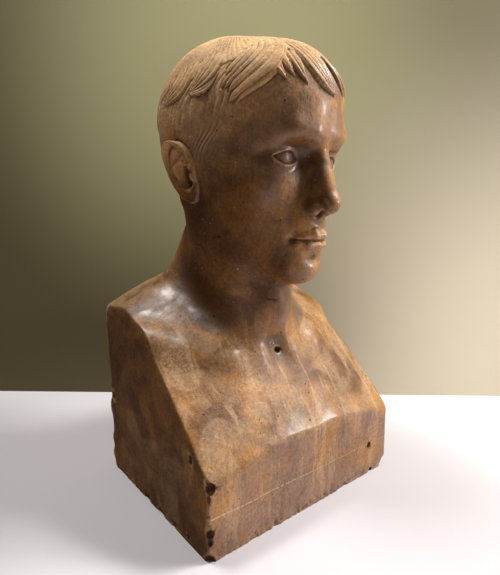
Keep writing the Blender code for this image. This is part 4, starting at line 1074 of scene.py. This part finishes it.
    # Dashed scratch along the front face, fading towards the bust's left
    front = wires.step(xyz.outputs["Y"], 0.004 - BLOCK_DEPTH / 2, 0.001 - BLOCK_DEPTH / 2)
    wander = wires.times(wires.less(wires.noise(place, 30.0, 2.0), 0.5), 0.004)
    level = wires.plus(wires.times(xyz.outputs["X"], SCRATCH_FALL), SCRATCH_HEIGHT)
    apart = wires.math("ABSOLUTE", wires.plus(wires.less(xyz.outputs["Z"], level), wander))
    line = wires.step(apart, 0.0011, 0.0004)
    dashes = wires.step(wires.noise(wires.stretched(place, (230.0, 0.0, 0.0)), 1.0, 2.0, 0.7), 0.42, 0.52)
    strong = wires.add("MapRange", {0: xyz.outputs["X"], 1: -0.13, 2: 0.11, 3: 0.95, 4: 0.25}).outputs[0]
    scratch = wires.times(wires.times(line, dashes), wires.times(front, strong))
    colour = wires.mixed(scratch, colour, colours.worn)

    # Dark pits, pale specks and the broken plaster inside chips and holes
    pits = wires.larger(dots(70.0, 0.22, 0.13), dots(190.0, 0.12, 0.20))
    specks = wires.larger(dots(120.0, 0.08, 0.13), dots(300.0, 0.08, 0.22))
    colour = wires.mixed(wires.times(specks, 0.7), colour, colours.worn)
    colour = wires.mixed(wires.times(pits, 0.9), colour, colours.deep)
    crumbs = wires.step(wires.noise(place, 190.0, 3.0, 0.6), 0.40, 0.66)
    colour = wires.mixed(chipped, colour, wires.mixed(crumbs, colours.deep, colours.shellac))
    wires.feed(shader.inputs["Base Color"], colour)

    # Gloss everywhere but in dirt, in chips, on the hair and on the sides
    dull = wires.larger(wires.larger(dirt, chipped), wires.larger(wires.times(high, 0.9), dark_and_shaded_sides))
    polish = wires.less(1.0, dull, clamp=True)
    rough = wires.plus(0.36, wires.times(blotch, 0.24))
    rough = wires.plus(rough, wires.times(dull, 0.3), clamp=True)
    wires.feed(shader.inputs["Roughness"], rough)
    wires.feed(shader.inputs["Specular IOR Level"], wires.plus(0.10, wires.times(polish, 0.35)))
    shader.inputs["Coat Roughness"].default_value = 0.22
    coat = wires.times(0.35, wires.step(blotch, 0.35, 0.60))
    wires.feed(shader.inputs["Coat Weight"], wires.times(coat, polish))

    # Fine relief: skin, brush marks, ripples and pits
    height = wires.times(wires.noise(place, 620.0, 3.0, 0.6), 0.00022)
    height = wires.plus(height, wires.times(brush, 0.00012))
    height = wires.plus(height, wires.times(wires.noise(place, 150.0, 4.0, 0.6), 0.0009))
    height = wires.less(height, wires.times(pits, 0.0010))
    bump = wires.add("Bump", {"Strength": 0.8, "Distance": 1.0, "Height": height})
    wires.feed(shader.inputs["Normal"], bump.outputs[0])
    return material


def colour_prop(name, description, value):
    """Colour setting with its default."""
    return FloatVectorProperty(name=name, description=description, subtype="COLOR", size=4,
                               default=(*value, 1.0), min=0.0, max=1.0)


class CastingSizes(bpy.types.PropertyGroup):
    """Depth of the fine relief and the count of triangles."""

    groove: FloatProperty(name="Strand depth", description="Depth of the furrows between strands of hair",
                          default=0.0010, unit="LENGTH")
    crop: FloatProperty(name="Cropped relief", description="Height of the close-cropped hair over the ears",
                        default=0.0016, unit="LENGTH")
    triangles: IntProperty(name="Triangles", description="Triangles kept for the casting", default=196000)


class PatinaColours(bpy.types.PropertyGroup):
    """Colours of the shellac and of the worn places."""

    shellac: colour_prop("Shellac", "Main brown of the finish", (0.140, 0.054, 0.015))
    ochre: colour_prop("Ochre", "Yellow-brown where the finish is thin", (0.350, 0.150, 0.034))
    mauve: colour_prop("Mauve", "Grey-brown bloom", (0.170, 0.080, 0.042))
    bloom: colour_prop("Bloom", "Pinkish brown of the front face", (0.300, 0.165, 0.100))
    faded: colour_prop("Faded", "Pale brown of the hair and of faces that look up", (0.560, 0.340, 0.165))
    worn: colour_prop("Worn", "Rubbed plaster on ridges and edges", (0.560, 0.400, 0.250))
    # Painted shade in broad hollows and partly on the sides below the hair, and old dark shellac in fine
    # creases and partly on the sides
    shellac_and_shade: colour_prop("Dark", "Old shellac in the hollows and on the sides", (0.065, 0.028, 0.013))
    deep: colour_prop("Deep", "Dirt in chips and holes", (0.030, 0.014, 0.009))


class StageSettings(bpy.types.PropertyGroup):
    """Backdrop, lights and camera."""

    lens: FloatProperty(name="Lens", description="Focal length in millimetres", default=28.32)
    key_power: FloatProperty(name="Key light", description="Power of the high light at the bust's left",
                             default=22.0, unit="POWER")
    top_power: FloatProperty(name="Top light", description="Power of the light above and behind",
                             default=17.0, unit="POWER")
    side_power: FloatProperty(name="Side light", description="Power of the low light at the bust's left",
                              default=11.0, unit="POWER")
    air: FloatProperty(name="Room light", description="Strength of the even light of the room", default=0.09)
    wall_dark: colour_prop("Wall in shade", "Olive of the wall far from the light", (0.100, 0.078, 0.026))
    wall: colour_prop("Wall", "Olive of the wall behind the head", (0.360, 0.335, 0.165))
    wall_pale: colour_prop("Wall in light", "Pale pool at the bust's left", (0.760, 0.680, 0.500))
    floor: colour_prop("Floor", "Pale floor", (0.61, 0.57, 0.58))


class BUST_OT_casting(bpy.types.Operator):
    """Makes the bust's fine surface in place of its plain solid"""

    bl_idname = "bust.casting"
    bl_label = "Casting"

    def execute(self, context):
        sizes = context.scene.bust_sizes
        points, losses = bust_grid(sizes.groove, sizes.crop)
        fine = mesh_of("fine_bust", *close_grid(points))
        store(fine, "crease", per_vertex(sunken(points, 1, 3)))
        # Broad depth below a smoothed copy of the grid, used for the painted shade in hollows
        store(fine, "hollow", per_vertex(sunken(points, 4, 40)))
        store(fine, "chipped", per_vertex(broken(points.reshape(-1, 3), losses).reshape(points.shape[:2])))
        mesh = thinned(fine, sizes.triangles)
        mesh.name = "bust_casting"
        mesh.polygons.foreach_set("use_smooth", np.ones(len(mesh.polygons), bool))
        mesh.set_sharp_from_angle(angle=np.radians(60.0))
        mesh.materials.clear()
        mesh.materials.append(patina_material(context.scene.bust_colours))
        bust = bpy.data.objects.new("bust_casting", mesh)
        context.scene.collection.objects.link(bust)
        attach(bust, "root")
        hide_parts("emperor_bust")
        return {"FINISHED"}


def plain_material(name, colour):
    """Matt paint or paper of one colour."""
    material = bpy.data.materials.new(name)
    material.use_nodes = True
    shader = material.node_tree.nodes["Principled BSDF"]
    shader.inputs["Base Color"].default_value = colour
    shader.inputs["Roughness"].default_value = 0.75
    return material


def wall_material(settings):
    """Olive wall painted brighter towards the light: two soft pools of painted light over a darker ground
    painted as shade.
    """
    material = plain_material("wall_paint", settings.wall_dark)
    tree = material.node_tree
    wires = Wiring(tree)
    place = wires.add("TexCoord").outputs["Object"]

    def pool(reach, height, inner, outer):
        centre = WALL_FOOT + reach * WALL_WAY + np.array([0.0, 0.0, height])
        return wires.step(wires.length(wires.offset(place, centre)), outer, inner)

    colour = wires.mixed(pool(0.45, 0.55, 0.10, 0.50), settings.wall_dark, settings.wall)
    colour = wires.mixed(pool(0.95, 0.12, 0.02, 0.62), colour, settings.wall_pale)
    wires.feed(tree.nodes["Principled BSDF"].inputs["Base Color"], colour)
    return material


def one_sided(material):
    """Lets light and sight through the back of a wall, so that the bust shows from behind too."""
    tree = material.node_tree
    wires = Wiring(tree)
    both = wires.add("MixShader", {0: wires.add("NewGeometry").outputs["Backfacing"]})
    tree.links.new(tree.nodes["Principled BSDF"].outputs[0], both.inputs[1])
    tree.links.new(wires.add("BsdfTransparent").outputs[0], both.inputs[2])
    tree.links.new(both.outputs[0], tree.nodes["Material Output"].inputs["Surface"])
    return material


def plane(name, corner, along, across, material):
    """Flat sheet from a corner and two edges, split into a small grid."""
    s = np.linspace(0.0, 1.0, 9)
    u, v = np.meshgrid(s, s, indexing="ij")
    grid = np.array(corner) + u[..., None] * np.array(along) + v[..., None] * np.array(across)
    k = (np.arange(8)[:, None] * 9 + np.arange(8)[None, :]).reshape(-1, 1)
    quads = np.concatenate([k, k + 9, k + 10, k + 1], 1)
    mesh = mesh_of(name, grid.reshape(-1, 3), quads, np.zeros((0, 3), int))
    mesh.materials.append(material)
    made = bpy.data.objects.new(name, mesh)
    bpy.context.scene.collection.objects.link(made)


class BUST_OT_stage(bpy.types.Operator):
    """Makes the floor and backdrop, the lights and the camera"""

    bl_idname = "bust.stage"
    bl_label = "Stage"

    def execute(self, context):
        scene = context.scene
        settings = scene.bust_stage
        ahead = np.array([np.sin(CAMERA_YAW), np.cos(CAMERA_YAW), 0.0])
        right = np.array([np.cos(CAMERA_YAW), -np.sin(CAMERA_YAW), 0.0])
        table = plain_material("pale_table", settings.floor)
        plane("floor", -3.0 * right - 3.0 * ahead, 6.0 * right, 6.0 * ahead, table)
        wall = one_sided(wall_material(settings))
        plane("wall", WALL_FOOT - 3.0 * WALL_WAY, 7.0 * WALL_WAY, (0.0, 0.0, 3.0), wall)
        camera = bpy.data.cameras.new("camera")
        camera.lens = settings.lens
        camera.sensor_width = SENSOR_WIDTH
        camera.clip_start = 0.01
        viewer = bpy.data.objects.new("camera", camera)
        viewer.location = CAMERA_PLACE
        viewer.rotation_euler = (np.pi / 2 - CAMERA_DIP, 0.0, -CAMERA_YAW)
        scene.collection.objects.link(viewer)
        scene.camera = viewer
        lamps = (("key", (0.66, -0.50, 1.26), 0.30, settings.key_power),
                 ("top", (-0.35, 0.30, 1.60), 0.35, settings.top_power),
                 ("side", (1.10, -1.14, 0.61), 0.25, settings.side_power))
        for name, place, size, power in lamps:
            light = bpy.data.lights.new(name, "AREA")
            light.energy = power
            light.size = size
            lamp = bpy.data.objects.new(name, light)
            lamp.location = place
            lamp.rotation_euler = (Vector(LAMP_AIM) - Vector(place)).to_track_quat("-Z", "Y").to_euler()
            scene.collection.objects.link(lamp)
        world = bpy.data.worlds.new("studio")
        world.use_nodes = True
        sky = world.node_tree.nodes["Background"]
        sky.inputs["Color"].default_value = (0.85, 0.84, 0.90, 1.0)
        sky.inputs["Strength"].default_value = settings.air
        scene.world = world
        scene.view_settings.view_transform = "Standard"
        return {"FINISHED"}


class BUST_PT_panel(bpy.types.Panel):
    """Sizes, colours and steps of the bust"""

    bl_idname = "BUST_PT_panel"
    bl_label = "Herm bust"
    bl_space_type = "VIEW_3D"
    bl_region_type = "UI"
    bl_category = "Bust"

    def draw(self, context):
        layout = self.layout
        scene = context.scene
        for group in (scene.bust_sizes, scene.bust_colours, scene.bust_stage):
            for key in type(group).__annotations__:
                layout.prop(group, key)
        layout.operator(BUST_OT_casting.bl_idname)
        layout.operator(BUST_OT_stage.bl_idname)


CLASSES = (CastingSizes, PatinaColours, StageSettings, BUST_OT_casting, BUST_OT_stage, BUST_PT_panel)


def register():
    """Adds the classes and the settings to Blender."""
    for kind in CLASSES:
        bpy.utils.register_class(kind)
    bpy.types.Scene.bust_sizes = PointerProperty(type=CastingSizes)
    bpy.types.Scene.bust_colours = PointerProperty(type=PatinaColours)
    bpy.types.Scene.bust_stage = PointerProperty(type=StageSettings)


def unregister():
    """Takes the settings and the classes out again."""
    del bpy.types.Scene.bust_stage
    del bpy.types.Scene.bust_colours
    del bpy.types.Scene.bust_sizes
    for kind in reversed(CLASSES):
        bpy.utils.unregister_class(kind)


def main():
    """Makes the casting and its stage."""
    register()
    bpy.ops.bust.stage()
    bpy.ops.bust.casting()


if __name__ == "__main__":
    main()
